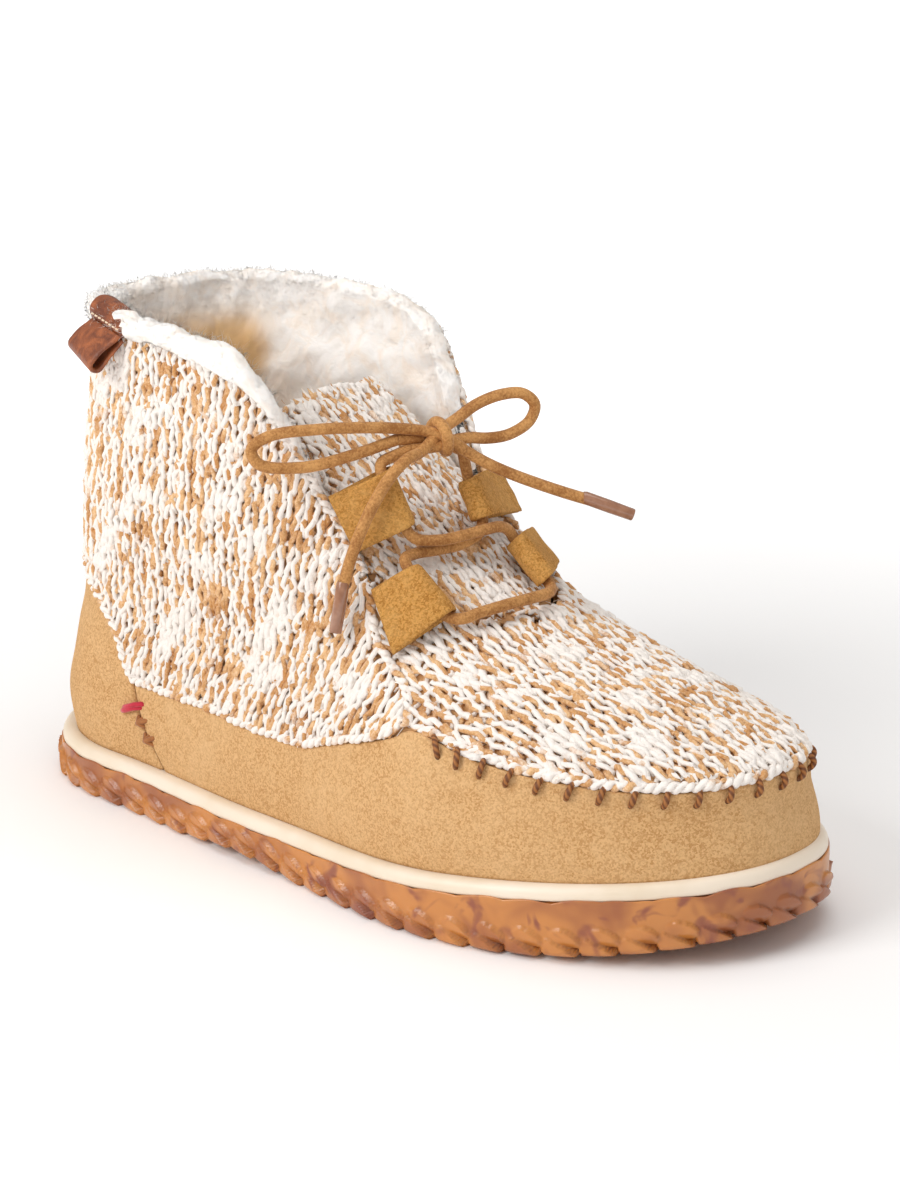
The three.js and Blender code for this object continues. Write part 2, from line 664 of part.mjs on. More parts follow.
function knot() {
  const ball = new THREE.SphereGeometry(1, 10, 8);
  ball.scale(...KNOT.reach);
  ball.translate(...KNOT.centre);
  ball.deleteAttribute("normal");
  ball.deleteAttribute("uv");
  const welded = mergeVertices(ball, 1e-3);
  welded.computeVertexNormals();
  return welded;
}

const group = new THREE.Group();
function add(name, geometry, finish) {
  const mesh = new THREE.Mesh(geometry, MATERIALS[finish]);
  mesh.name = name;
  group.add(mesh);
}

add("outsole", outsole(), "gum");
add("midsole", midsole(), "cream");
add("insole", insole(), "insole");
add("upper", upper(), "knit");
const seam = 0.25;
const [top, foot] = [COUNTER_SEAM_TOP, COUNTER_SEAM_FOOT];
add("suede_surround", suedePanel(top + seam, 360 - top - seam, foot + seam, 360 - foot - seam, 48), "suede");
add("heel_counter", suedePanel(-top + seam, top - seam, -foot + seam, foot - seam, 16), "suede");
add("tongue", tongue(), "knit");
add("fleece_lining", fleeceLining(), "fleece");
for (const [name, places] of Object.entries(KEEPERS)) add(name, keeper(places), "keeper");
add("pull_tab", pullTab(), "leather");
add("lace_run", cord(LACE_RUN, LACE_RADIUS, 48), "lace");
add("lace_knot", knot(), "lace");
add("lace_loop_outer", cord(OUTER_LOOP, LACE_RADIUS, 18), "lace");
add("lace_loop_inner", cord(INNER_LOOP, LACE_RADIUS, 16), "lace");
add("lace_end_outer", cord(OUTER_END, LACE_RADIUS, 9), "lace");
add("lace_end_inner", cord(INNER_END, LACE_RADIUS, 7), "lace");
add("aglet_outer", cord(OUTER_AGLET, AGLET_RADIUS, 1), "aglet");
add("aglet_inner", cord(INNER_AGLET, AGLET_RADIUS, 1), "aglet");

export default group;
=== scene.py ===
import bpy
import numpy as np
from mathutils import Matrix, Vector


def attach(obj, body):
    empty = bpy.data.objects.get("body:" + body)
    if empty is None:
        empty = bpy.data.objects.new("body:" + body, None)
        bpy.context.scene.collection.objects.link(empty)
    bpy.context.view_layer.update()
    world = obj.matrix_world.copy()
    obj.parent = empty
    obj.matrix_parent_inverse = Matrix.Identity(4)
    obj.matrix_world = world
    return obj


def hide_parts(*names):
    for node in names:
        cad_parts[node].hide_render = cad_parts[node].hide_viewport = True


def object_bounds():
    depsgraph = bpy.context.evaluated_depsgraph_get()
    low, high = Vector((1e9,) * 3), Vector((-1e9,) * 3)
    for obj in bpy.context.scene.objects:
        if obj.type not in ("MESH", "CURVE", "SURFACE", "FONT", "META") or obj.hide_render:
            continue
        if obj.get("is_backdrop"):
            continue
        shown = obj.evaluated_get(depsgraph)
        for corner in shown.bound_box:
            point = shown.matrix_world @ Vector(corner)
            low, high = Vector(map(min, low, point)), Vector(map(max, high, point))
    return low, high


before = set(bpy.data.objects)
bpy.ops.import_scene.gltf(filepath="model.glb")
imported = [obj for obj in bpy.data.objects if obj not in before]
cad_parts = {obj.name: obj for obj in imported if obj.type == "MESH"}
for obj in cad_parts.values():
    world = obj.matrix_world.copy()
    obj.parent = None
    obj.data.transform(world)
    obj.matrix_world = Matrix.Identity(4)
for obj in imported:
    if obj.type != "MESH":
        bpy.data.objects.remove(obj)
cad_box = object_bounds()


# Camera: a long lens above the outer side of the toe, aimed at the middle of the boot.
# The picture is 900 by 1200 pixels, and 3258 of them span one radian.
PICTURE_HEIGHT = 1200
PIXELS_PER_RADIAN = 3258
SENSOR = 36
CAMERA_AIM = Vector((0.013, 0.0, 0.073))
CAMERA_DISTANCE = 0.9
azimuth = np.radians(41.7)
elevation = np.radians(18.0)
sight = Vector((
    np.sin(azimuth) * np.cos(elevation),
    -np.cos(azimuth) * np.cos(elevation),
    np.sin(elevation),
))
camera_data = bpy.data.cameras.new("camera")
camera_data.lens = PIXELS_PER_RADIAN * SENSOR / PICTURE_HEIGHT
camera = bpy.data.objects.new("camera", camera_data)
camera.location = CAMERA_AIM + CAMERA_DISTANCE * sight
camera.rotation_euler = sight.to_track_quat("Z", "Y").to_euler()
bpy.context.collection.objects.link(camera)
bpy.context.scene.camera = camera
bpy.context.scene.view_settings.view_transform = "Standard"


# Studio light: a white room, one large soft box on the heel's side that burns the back of the knit out,
# a second one overhead, and a weak one in front of the toe.
def soft_box(name, place, target, size, watts):
    """Square area light at a place, in metres, turned towards a target."""
    data = bpy.data.lights.new(name, "AREA")
    data.size = size
    data.energy = watts
    light = bpy.data.objects.new(name, data)
    light.location = place
    light.rotation_euler = (Vector(place) - Vector(target)).to_track_quat("Z", "Y").to_euler()
    bpy.context.collection.objects.link(light)


soft_box("key_light", (-0.35, -1.25, 0.9), (0.0, 0.0, 0.06), 0.8, 12.2)
soft_box("top_light", (0.1, 0.0, 1.4), (0.0, 0.0, 0.05), 1.1, 7.6)
soft_box("side_light", (1.1, -0.9, 0.8), (0.0, 0.0, 0.07), 0.9, 1.0)
world = bpy.data.worlds.new("white_room")
world.use_nodes = True
room = world.node_tree.nodes["Background"].inputs
room["Color"].default_value = (1.0, 0.99, 0.985, 1.0)
room["Strength"].default_value = 0.48
bpy.context.scene.world = world


# Floor: one sheet of matt white paper under the boot, wide enough to fill the picture. Away from the
# boot it is painted with a faint glow, light that no lamp gives, so that it stays white to its edges.
def colour(red, green, blue):
    """Linear colour of a screen colour from 0 to 255: ((v / 255 + 0.055) / 1.055) to the power 2.4."""
    shade = ((np.array([red, green, blue]) / 255 + 0.055) / 1.055) ** 2.4
    return (float(shade[0]), float(shade[1]), float(shade[2]), 1.0)


def new_finish(name, sockets):
    """Material with one Principled shader whose constant sockets are set here."""
    finish = bpy.data.materials.new(name)
    finish.use_nodes = True
    shader = finish.node_tree.nodes["Principled BSDF"]
    for socket, value in sockets.items():
        shader.inputs[socket].default_value = value
    return finish


def add_node(finish, kind, inputs, **properties):
    """Node of a kind in a material; an input is a number, a colour, or another node's output."""
    tree = finish.node_tree
    made = tree.nodes.new("ShaderNode" + kind)
    for name, value in properties.items():
        setattr(made, name, value)
    for socket, value in inputs.items():
        if isinstance(value, bpy.types.NodeSocket):
            tree.links.new(value, made.inputs[socket])
        else:
            made.inputs[socket].default_value = value
    return made


def noise(finish, places, scale, detail=2.0, roughness=0.5, distortion=0.0):
    """Cloudy number around 0.5 at the places, with about scale blotches to the metre."""
    inputs = {"Vector": places, "Scale": scale, "Detail": detail, "Roughness": roughness}
    inputs["Distortion"] = distortion
    return add_node(finish, "TexNoise", inputs).outputs["Fac"]


def spread(finish, value, low, high, start=0.0, end=1.0):
    """Number that goes smoothly from start to end while value goes from low to high."""
    inputs = {"Value": value, 1: low, 2: high, 3: start, 4: end}
    made = add_node(finish, "MapRange", inputs, interpolation_type="SMOOTHSTEP")
    return made.outputs["Result"]


def blend_colours(finish, share, first, second):
    """Colour that goes from first to second as share goes from 0 to 1."""
    made = add_node(finish, "Mix", {0: share, 6: first, 7: second}, data_type="RGBA")
    return made.outputs[2]


def weigh(finish, first, first_share, second, second_share):
    """Sum of two numbers, each times its share."""
    part = add_node(finish, "Math", {0: first, 1: first_share}, operation="MULTIPLY").outputs[0]
    inputs = {0: second, 1: second_share, 2: part}
    return add_node(finish, "Math", inputs, operation="MULTIPLY_ADD").outputs[0]


def join_shader(finish, links):
    """Feeds sockets of the material's shader from the given outputs."""
    shader = finish.node_tree.nodes["Principled BSDF"]
    for socket, output in links.items():
        finish.node_tree.links.new(output, shader.inputs[socket])


def bump(finish, height, distance, strength=1.0, below=None):
    """Normal of a surface raised by height times distance, in metres, on top of another bump."""
    inputs = {"Height": height, "Distance": distance, "Strength": strength}
    if below is not None:
        inputs["Normal"] = below
    return add_node(finish, "Bump", inputs).outputs["Normal"]


def object_places(finish):
    """The piece's own coordinates, in metres."""
    return add_node(finish, "TexCoord", {}).outputs["Object"]


def put_mesh(name, points, faces, finish, uv=None, marks=None):
    """Object at the origin from points in millimetres and face arrays of three or four corners.
    uv holds a pair for each corner of each face, and marks one number for each point."""
    mesh = bpy.data.meshes.new(name)
    corners = np.concatenate([part.ravel() for part in faces])
    sizes = np.concatenate([np.full(len(part), part.shape[1]) for part in faces])
    mesh.vertices.add(len(points))
    mesh.vertices.foreach_set("co", (points * 0.001).astype(np.float32).ravel())
    mesh.loops.add(len(corners))
    mesh.loops.foreach_set("vertex_index", corners.astype(np.int32))
    mesh.polygons.add(len(sizes))
    mesh.polygons.foreach_set("loop_start", (np.cumsum(sizes) - sizes).astype(np.int32))
    mesh.polygons.foreach_set("use_smooth", np.ones(len(sizes), bool))
    if uv is not None:
        layer = mesh.uv_layers.new(name="along")
        layer.uv.foreach_set("vector", uv.astype(np.float32).ravel())
    for mark, values in (marks or {}).items():
        layer = mesh.attributes.new(mark, "FLOAT", "POINT")
        layer.data.foreach_set("value", values.astype(np.float32).ravel())
    mesh.update(calc_edges=True)
    mesh.validate()
    mesh.materials.append(finish)
    piece = bpy.data.objects.new(name, mesh)
    bpy.context.collection.objects.link(piece)
    return piece


paper = new_finish("white_paper", {"Roughness": 0.9, "Emission Color": colour(255, 255, 255)})
paper_cloud = noise(paper, object_places(paper), 3.0)
paper_tone = blend_colours(paper, paper_cloud, colour(250, 249, 248), colour(253, 252, 251))
paper_far = add_node(paper, "VectorMath", {0: object_places(paper)}, operation="LENGTH").outputs["Value"]
# Painted light: the paper's emission rises with the distance from the boot.
paper_painted_glow = spread(paper, paper_far, 0.15, 0.8, 0.0, 0.75)
join_shader(paper, {"Base Color": paper_tone, "Emission Strength": paper_painted_glow})
FLOOR_HALF = 4000.0
floor_corners = FLOOR_HALF * np.array([[-1, -1, 0], [1, -1, 0], [1, 1, 0], [-1, 1, 0]])
floor = put_mesh("floor", floor_corners, [np.array([[0, 1, 2, 3]])], paper)
floor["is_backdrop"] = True


# Lace: one round cord of tan suede leather, 3.2 mm thick, threaded through the four keepers and tied
# in a bow over the tongue. The bars are held by the keepers; the bow's loops and ends hang free.
def unit(vectors):
    """Vectors of length 1 in the same directions."""
    return vectors / (np.linalg.norm(vectors, axis=-1, keepdims=True) + 1e-12)


def length_along(path):
    """Length gone at each point of a path: the running sum of the steps between points."""
    step = np.linalg.norm(np.diff(path, axis=-2), axis=-1)
    return np.concatenate([np.zeros((*step.shape[:-1], 1)), np.cumsum(step, axis=-1)], axis=-1)


def smooth_path(points, stations):
    """Evenly spaced stations on a curve through the points. Each stretch is a cubic whose end
    slopes weigh the neighbouring stretches by the square roots of their lengths."""
    p = np.asarray(points, float)
    p = np.vstack([2 * p[0] - p[1], p, 2 * p[-1] - p[-2]])
    root = np.sqrt(np.linalg.norm(np.diff(p, axis=0), axis=1))[:, None]
    a, b, c = root[:-2], root[1:-1], root[2:]
    p0, p1, p2, p3 = p[:-3], p[1:-2], p[2:-1], p[3:]
    slope_1 = ((p1 - p0) / a - (p2 - p0) / (a + b) + (p2 - p1) / b) * b
    slope_2 = ((p2 - p1) / b - (p3 - p1) / (b + c) + (p3 - p2) / c) * b
    t = np.linspace(0, 1, 24, endpoint=False)[:, None]
    pull = t * t * (3 - 2 * t)
    fine = p1[:, None] + (p2 - p1)[:, None] * pull
    fine = fine + slope_1[:, None] * (t * (1 - t) ** 2) + slope_2[:, None] * (t * t * (t - 1))
    fine = np.vstack([fine.reshape(-1, 3), p[-2]])
    gone = length_along(fine)
    even = np.linspace(0, gone[-1], stations)
    return np.stack([np.interp(even, gone, fine[:, k]) for k in range(3)], axis=-1)


def carried_sides(path):
    """Direction square to the path at each station, carried along it without twisting."""
    ahead = unit(np.gradient(path, axis=0))
    sides = np.cross(ahead, [0.31, 0.27, 0.91])
    for k in range(1, len(path)):
        sides[k] = unit(sides[k - 1] - ahead[k] * (ahead[k] @ sides[k - 1]))
    return sides


def tubes(paths, ups, radius, sides, kept=None):
    """Round tubes along paths, given as tubes by stations by three. At each station a ring of points
    stands square to the path, and its first point is on the up side. Faces between two stations that
    aren't both kept are left out. Gives points, faces, and pairs of length along and share around."""
    ahead = unit(np.gradient(paths, axis=1))
    side = unit(np.cross(ahead, ups))
    out = np.cross(side, ahead)
    turn = np.linspace(0, 2 * np.pi, sides, endpoint=False)[:, None]
    ring = np.cos(turn) * out[..., None, :] + np.sin(turn) * side[..., None, :]
    points = paths[..., None, :] + radius[..., None, None] * ring
    count, stations = paths.shape[:2]
    first = np.arange(count * stations).reshape(count, stations)[:, :-1, None] * sides
    j = np.arange(sides)
    k = (j + 1) % sides
    faces = np.stack([first + j, first + k, first + k + sides, first + j + sides], axis=-1)
    gone = length_along(paths)
    low, high, near, far = np.broadcast_arrays(
        gone[:, :-1, None], gone[:, 1:, None], j / sides, (j + 1) / sides,
    )
    uv = np.stack([low, near, low, far, high, far, high, near], axis=-1)
    whole = np.ones((count, stations - 1), bool) if kept is None else kept[:, :-1] & kept[:, 1:]
    return points.reshape(-1, 3), faces[whole].reshape(-1, 4), uv[whole].reshape(-1, 2)


def one_tube(path, radius, sides=14):
    """Tube of even thickness along one path, closed by a small dome at either end."""
    start = path[0] + 0.3 * radius * unit(path[0] - path[1])
    end = path[-1] + 0.3 * radius * unit(path[-1] - path[-2])
    whole = np.vstack([start, path, end])
    thick = np.full(len(whole), radius)
    thick[[0, -1]] = 0.02
    return tubes(whole[None], carried_sides(whole)[None], thick[None], sides)


def join_parts(parts):
    """One set of points, faces and corner pairs out of several."""
    count = np.cumsum([0] + [len(part[0]) for part in parts])
    points = np.concatenate([part[0] for part in parts])
    faces = np.concatenate([part[1] + shift for part, shift in zip(parts, count)])
    return points, faces, np.concatenate([part[2] for part in parts])


def join_boot(piece, node=None):
    """Fixes a piece to the boot, and hides the CAD node that it stands for, if one is given."""
    if node:
        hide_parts(node)
    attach(piece, "root")


lace_finish = new_finish("suede_lace", {
    "Roughness": 0.68, "Sheen Weight": 0.12, "Sheen Roughness": 0.4, "Specular IOR Level": 0.35,
})
lace_places = object_places(lace_finish)
lace_grain = noise(lace_finish, lace_places, 1500.0, 3.0, 0.65)
lace_cloud = noise(lace_finish, lace_places, 150.0, 3.0)
lace_tone = weigh(lace_finish, lace_grain, 1.0, lace_cloud, 0.8)
lace_share = spread(lace_finish, lace_tone, 0.6, 1.2)
join_shader(lace_finish, {
    "Base Color": blend_colours(lace_finish, lace_share, colour(146, 92, 40), colour(204, 150, 88)),
    "Normal": bump(lace_finish, lace_grain, 0.0004, 0.5),
})

LACE_RADIUS = 1.6
bar_path = smooth_path([
    [10, -12.8, 118.2], [8.4, -17.4, 117], [6.9, -20.8, 115.5], [7.45, -21.66, 113.38],
    [11.2, -21.05, 106.15], [15, -20.45, 98.9], [17.2, -18.6, 95.8], [20.8, -13, 94.8],
    [23.6, -6, 95.2], [25.2, 1, 95.6], [25.6, 6.5, 95.2], [25.6, 10, 93.4], [26.8, 11.15, 90.8],
    [32.8, 10.8, 86.35], [38.8, 10.5, 81.9], [41.2, 9.8, 80.2], [42.6, 7, 79.8], [42.2, 0, 79.8],
    [40.6, -8, 79.6], [38.2, -16, 78.8], [36, -21.4, 77.9], [33.1, -23.8, 78.6], [26.6, -24.15, 83.8],
    [20.1, -24.5, 89], [17.6, -23.4, 91.2], [17.2, -18.6, 91.6], [19, -11, 91.4], [21, -4, 91.8],
    [22.6, 1.4, 94.2], [21.67, 3.62, 97.41], [18.34, 4.45, 102.25], [15, 5.3, 107.1],
    [13.8, 5.5, 110.4], [12.8, 5.4, 114.6],
], 260)
bar_points, bar_faces, bar_uv = one_tube(bar_path, LACE_RADIUS)
lace_bars = put_mesh("lace_bars", bar_points, [bar_faces], lace_finish, bar_uv)
join_boot(lace_bars, "lace_run")


# Knot of the bow: the strands of both loops and ends pass side by side through one turn of the
# lace, which is pulled tight around them.
knot_middle = np.array([13.6, -5.2, 120.8])
knot_axis = np.array([0.40, 0.915, 0.03])
knot_up = np.array([0.0, -0.03, 1.0])
knot_front = np.cross(knot_axis, knot_up)
wrap_turn = np.radians(np.linspace(-150, 255, 70))[:, None]
wrap_round = np.cos(wrap_turn) * knot_up * 4.1 + np.sin(wrap_turn) * knot_front * 4.0
wrap_path = knot_middle + wrap_round + knot_axis * wrap_turn * 0.55
strand_points = [
    [[9.4, -12.2, 123.6], [11.6, -8.4, 122.6], [14.8, -4.6, 121.2], [17.2, -2, 118.8], [18.6, -0.2, 116.8]],
    [[14.8, 1, 125], [13.6, -2.8, 123], [13.2, -6.4, 121], [13.4, -10.4, 118.8], [13.4, -13.4, 117.6]],
    [[7.6, -15.6, 121], [9.6, -10.6, 120.4], [11.2, -5.4, 119.2], [12.2, 0.8, 117], [12.8, 5.4, 114.6]],
    [[17.6, 3.4, 119.6], [16.2, -0.6, 119.6], [14.4, -5.6, 118.6], [12.2, -9.8, 118.2], [10, -12.8, 118.2]],
]
knot_parts = [one_tube(smooth_path(points, 36), LACE_RADIUS) for points in strand_points]
knot_points, knot_faces, knot_uv = join_parts(knot_parts + [one_tube(wrap_path, LACE_RADIUS)])
knot = put_mesh("lace_bow_knot", knot_points, [knot_faces], lace_finish, knot_uv)
join_boot(knot, "lace_knot")


# Tips of the lace: a shrunk sleeve of clear brown film over the last centimetre of each end,
# with the cut lace a little inside its open rim.
def grid_faces(rows, columns, around=False, over=False):
    """Four-cornered faces of a grid of points, row by row. around joins the last column to the
    first, and over joins the last row to the first."""
    i = np.arange(rows if over else rows - 1)[:, None]
    j = np.arange(columns if around else columns - 1)[None, :]
    h = (i + 1) % rows
    k = (j + 1) % columns
    corners = [i * columns + j, i * columns + k, h * columns + k, h * columns + j]
    return np.stack(np.broadcast_arrays(*corners), axis=-1).reshape(-1, 4)


tip_finish = new_finish("clear_brown_film", {
    "Roughness": 0.2, "Coat Weight": 0.6, "Coat Roughness": 0.1,
})
tip_places = object_places(tip_finish)
tip_cloud = noise(tip_finish, tip_places, 420.0, 2.0)
# Painted shade: the sleeve's inside at the open end is painted near black.
tip_mouth_shade = add_node(tip_finish, "Attribute", {}, attribute_name="painted_mouth_shade").outputs["Fac"]
tip_film = blend_colours(tip_finish, tip_cloud, colour(120, 72, 46), colour(176, 128, 98))
tip_colour = blend_colours(tip_finish, tip_mouth_shade, tip_film, colour(40, 22, 14))
join_shader(tip_finish, {"Base Color": tip_colour, "Normal": bump(tip_finish, tip_cloud, 0.0003, 0.4)})
TIP_SIDES = 20


def lace_tip(name, node, start, end):
    """Sleeve from start to end: a profile of radius against length turned about the line between,
    which goes back inside at the end, where it is painted dark as the shade inside the open end."""
    start, end = np.array(start), np.array(end)
    along = np.array([-0.53, -0.5, -0.45, 0.3, 0.6, 0.97, 1.0, 1.0, 0.97, 0.86, 0.84, 0.84])
    radius = np.array([1.5, 1.62, 1.8, 1.82, 1.76, 1.72, 1.64, 1.45, 1.36, 1.32, 1.2, 0.02])
    path = start + (end - start) * along[:, None]
    ahead = unit(end - start)
    side = unit(np.cross(ahead, np.cross(ahead, [0.9, 0.3, 0.2])))
    turn = np.linspace(0, 2 * np.pi, TIP_SIDES, endpoint=False)[:, None]
    ring = np.cos(turn) * np.cross(side, ahead) + np.sin(turn) * side
    points = path[:, None, :] + radius[:, None, None] * ring
    # Rings past the rim are marked for the painted shade inside the open end.
    painted_mouth_shade = np.repeat(np.arange(len(along)) > 8, TIP_SIDES)
    faces = grid_faces(len(path), TIP_SIDES, True)
    tip = put_mesh(name, points.reshape(-1, 3), [faces], tip_finish, None, {"painted_mouth_shade": painted_mouth_shade})
    join_boot(tip, node)
    return tip


outer_tip = lace_tip("lace_tip_outer", "aglet_outer", [9.55, -40.1, 82.2], [9.1, -41.8, 73.2])
inner_tip = lace_tip("lace_tip_inner", "aglet_inner", [43.3, 27.7, 100.75], [49.8, 34.2, 97.2])


# Free parts of the lace: the two loops of the bow, which go back into the knot, and the two ends,
# which hang over the outer side and lie across the inner side.
def free_lace(name, node, points, stations):
    """Lace along the route's points, given in millimetres."""
    path = smooth_path(points, stations)
    mesh_points, faces, uv = one_tube(path, LACE_RADIUS)
    piece = put_mesh(name, mesh_points, [faces], lace_finish, uv)
    join_boot(piece, node)
    path = path * 0.001


free_lace("lace_bow_outer", "lace_loop_outer", [
    [9.4, -12.2, 123.6], [5, -22, 125.2], [-3, -36, 126], [-10.5, -46, 124.8], [-13.6, -49.6, 121.4],
    [-11.6, -49, 117.6], [-4, -40, 116.2], [3, -28, 118.4], [7.6, -15.6, 121],
], 120)
free_lace("lace_bow_inner", "lace_loop_inner", [
    [14.8, 1, 125], [17.2, 6.6, 128.4], [20.6, 12.6, 130.4], [23.8, 17.8, 130.2], [25.8, 20.4, 127],
    [25.2, 19, 122.6], [22.6, 13.8, 119.4], [19.8, 8, 118.9], [17.6, 3.4, 119.6],
], 90)
free_lace("lace_tail_outer", "lace_end_outer", [
    [13.4, -13.4, 117.6], [14.2, -18.6, 117.4], [13, -24.4, 113], [11.6, -29.6, 106], [10.6, -34.2, 98],
    [10, -37.8, 90], [9.6, -40, 82.6],
], 60)
free_lace("lace_tail_inner", "lace_end_inner", [
    [18.6, -0.2, 116.8], [22, 4.4, 113.2], [26.4, 9.6, 109.8], [31.6, 15.4, 106.6], [37.2, 21.4, 103.6],
    [43, 27.4, 100.9],
], 60)


# Outsole: one moulding of marbled gum rubber. Leaf-shaped lugs stand around its rim and along its
# middle, and the wall above them is smooth up to the pale band.
MIDDLE_Y = -0.15
SOLE_LENGTH = 255.0
SOLE_SIZES = [-SOLE_LENGTH / 2, SOLE_LENGTH / 2, 41, 47.5, 42, 56.5, 51, 0.42, 0.36, 10]
FEATHER_HEEL = 14.3
FEATHER_RISE = 11.2


def ease(value):
    """Smooth step from 0 to 1: t squared times (3 - 2t), with t held between 0 and 1."""
    t = np.clip(value, 0, 1)
    return t * t * (3 - 2 * t)


def slice_half(sizes, share, outer):
    """Half width of a level slice, and the side position of its middle line, at a share of its length.
    The width eases from heel to waist to ball, and both ends close as arcs of power 2.2."""
    back, front, heel, *both_sides, swing = np.moveaxis(sizes, -1, 0)
    waist_out, waist_in, ball_out, ball_in, toe_out, toe_in = both_sides
    waist = np.where(outer, waist_out, waist_in)
    ball = np.where(outer, ball_out, ball_in)
    toe = np.where(outer, toe_out, toe_in)
    width = heel + (waist - heel) * ease((share - 0.15) / 0.3) + (ball - waist) * ease((share - 0.42) / 0.3)
    into_heel = np.clip(1 - share * (front - back) / (heel * 1.05), 0, 1)
    into_toe = np.clip(1 - (1 - share) / toe, 0, 1)
    closing = ((1 - into_heel ** 2.2) * (1 - into_toe ** 2.2)) ** (1 / 2.2)
    return width * closing, swing * np.clip((share - 0.4) / 0.6, 0, 1) ** 2 + MIDDLE_Y


def outline_point(sizes, angle):
    """Point of a slice's outline: angle 0 is the back of the heel, 180 the toe, and below 180 the outer
    side. The share of the length is (1 - cos angle) / 2."""
    turn = np.mod(angle, 360)
    outer = turn <= 180
    share = (1 - np.cos(np.radians(turn))) / 2
    half, middle = slice_half(sizes, share, outer)
    return sizes[..., 0] + (sizes[..., 1] - sizes[..., 0]) * share, middle + np.where(outer, -half, half)


def sole_edge(angle, inset):
    """Outline of the sole at an angle, moved inwards square to itself."""
    sizes = np.broadcast_to(SOLE_SIZES, (*np.shape(angle), len(SOLE_SIZES)))
    x, y = outline_point(sizes, angle)
    x0, y0 = outline_point(sizes, angle - 0.5)
    x1, y1 = outline_point(sizes, angle + 0.5)
    length = np.hypot(x1 - x0, y1 - y0)
    return x - (y1 - y0) / length * inset, y - (x0 - x1) / length * inset


def sole_top(x):
    """Height of the sole's upper edge: level under the heel, then rising to the toe by a power of 1.5."""
    return FEATHER_HEEL + FEATHER_RISE * np.clip((x / SOLE_LENGTH + 0.05) / 0.55, 0, 1) ** 1.5


def ground(x):
    """Height of the tread: a sine hump under the arch and a squared rise under the toe."""
    share = x / SOLE_LENGTH + 0.5
    arch = np.sin(np.pi * np.clip((share - 0.28) / 0.24, 0, 1)) ** 2
    return 8.6 * np.clip((share - 0.72) / 0.28, 0, 1) ** 2 + 2.2 * arch


def ripple(places, size, seed):
    """Uneven field between about -1 and 1: ten sine waves in random directions, about size long."""
    chance = np.random.default_rng(seed)
    waves = chance.normal(size=(10, places.shape[-1]))
    waves *= chance.uniform(0.7, 1.6, (10, 1)) / np.linalg.norm(waves, axis=1, keepdims=True) / size
    return np.sin(2 * np.pi * places @ waves.T + chance.uniform(0, 2 * np.pi, 10)).sum(axis=-1) / 4


RIM_STEPS = 1080
sole_angle = np.linspace(0, 360, RIM_STEPS, endpoint=False)
rim_x, rim_y = sole_edge(sole_angle, 0.0)
rim_step = np.hypot(np.diff(rim_x, append=rim_x[0]), np.diff(rim_y, append=rim_y[0]))
rim_arc = np.cumsum(rim_step) - rim_step
RIM_LEAVES = 60
leaf_pitch = rim_step.sum() / RIM_LEAVES
CREAM_HEIGHT = 4.2
LUG_HEIGHT = 3.6
LEAF_LEAN = 0.75


def rim_leaves(arc, shift, half):
    """Leaf-shaped lugs once in each pitch of the rim: 1 inside half a length on either side of the leaf's
    middle line, easing to 0 past it; and the place across the leaf, from -1 to 1."""
    local = (np.mod(arc / leaf_pitch, 1) - 0.5) * leaf_pitch - shift
    local = np.mod(local + leaf_pitch / 2, leaf_pitch) - leaf_pitch / 2
    inside = ease((half - np.abs(local)) / 0.75 + 0.5) * (half > 0.2)
    return inside, np.clip(local / np.maximum(half, 0.5), -1, 1)


# Wall of the gum from its wavy top down: low leaves stand on the ground and lean, high leaves fill the
# gaps between their tips, and the wall is drawn in between the low leaves.
WALL_ROWS = 27
RIM_WAVES = 46
wall_share = np.linspace(1, 0, WALL_ROWS)[:, None]
wave_pitch = rim_step.sum() / RIM_WAVES
gum_uneven = ripple(np.stack([rim_x, rim_y], axis=-1), 16.0, 4)
gum_wave = 0.2 + 0.65 * np.abs(np.sin(np.pi * rim_arc / wave_pitch)) ** 0.7 + 0.3 * gum_uneven
gum_top = sole_top(rim_x) - CREAM_HEIGHT - 0.3
wall_h = 0.2 + (gum_top + gum_wave - 0.5 - ground(rim_x)) * wall_share
low_half = 0.46 * leaf_pitch * (1 - np.clip(wall_h / 5.4, 0, 1) ** 1.7)
low_on, low_across = rim_leaves(rim_arc[None], -LEAF_LEAN * (wall_h - 3), low_half)
high_half = 0.36 * leaf_pitch * np.sqrt(np.clip(1 - ((wall_h - 5.0) / 2.9) ** 2, 0, 1))
high_on, high_across = rim_leaves(rim_arc[None], leaf_pitch / 2 - LEAF_LEAN * (wall_h - 3), high_half)
gap_inset = 3.4 * ease(1 - wall_h / 5.0)
gap_rise = np.maximum(wall_h, 1.9)
low_swell = 0.7 + 0.55 * low_across - 0.25 * low_across ** 2
wall_inset = gap_inset * (1 - low_on) - 1.1 * low_swell * low_on
wall_inset = wall_inset - 0.9 * high_on * (1 + 0.6 * high_across) * (1 - low_on)
foot_round = 1.1 * np.clip(1 - wall_h / 1.4, 0, 1) ** 2
wall_rise = gap_rise * (1 - low_on) + wall_h * low_on
wall_angle = np.broadcast_to(sole_angle, wall_inset.shape)
low_x, low_y = sole_edge(wall_angle, wall_inset + foot_round * low_on - 0.45)
low_z = ground(low_x) + wall_rise

# Rows over the wall, from under the cream band out to the wavy lip.
top_inset = np.array([4.0, 0.5, 0.15, -0.15, -0.38])[:, None]
top_wave = np.array([0.0, 0.0, 1.0, 1.0, 1.0])[:, None]
top_rise = np.array([0.0, 0.0, -0.1, 0.05, -0.1])[:, None]
top_shape = (len(top_inset), RIM_STEPS)
top_x, top_y = sole_edge(np.broadcast_to(sole_angle, top_shape), np.broadcast_to(top_inset, top_shape))
top_z = gum_top + top_rise + top_wave * gum_wave

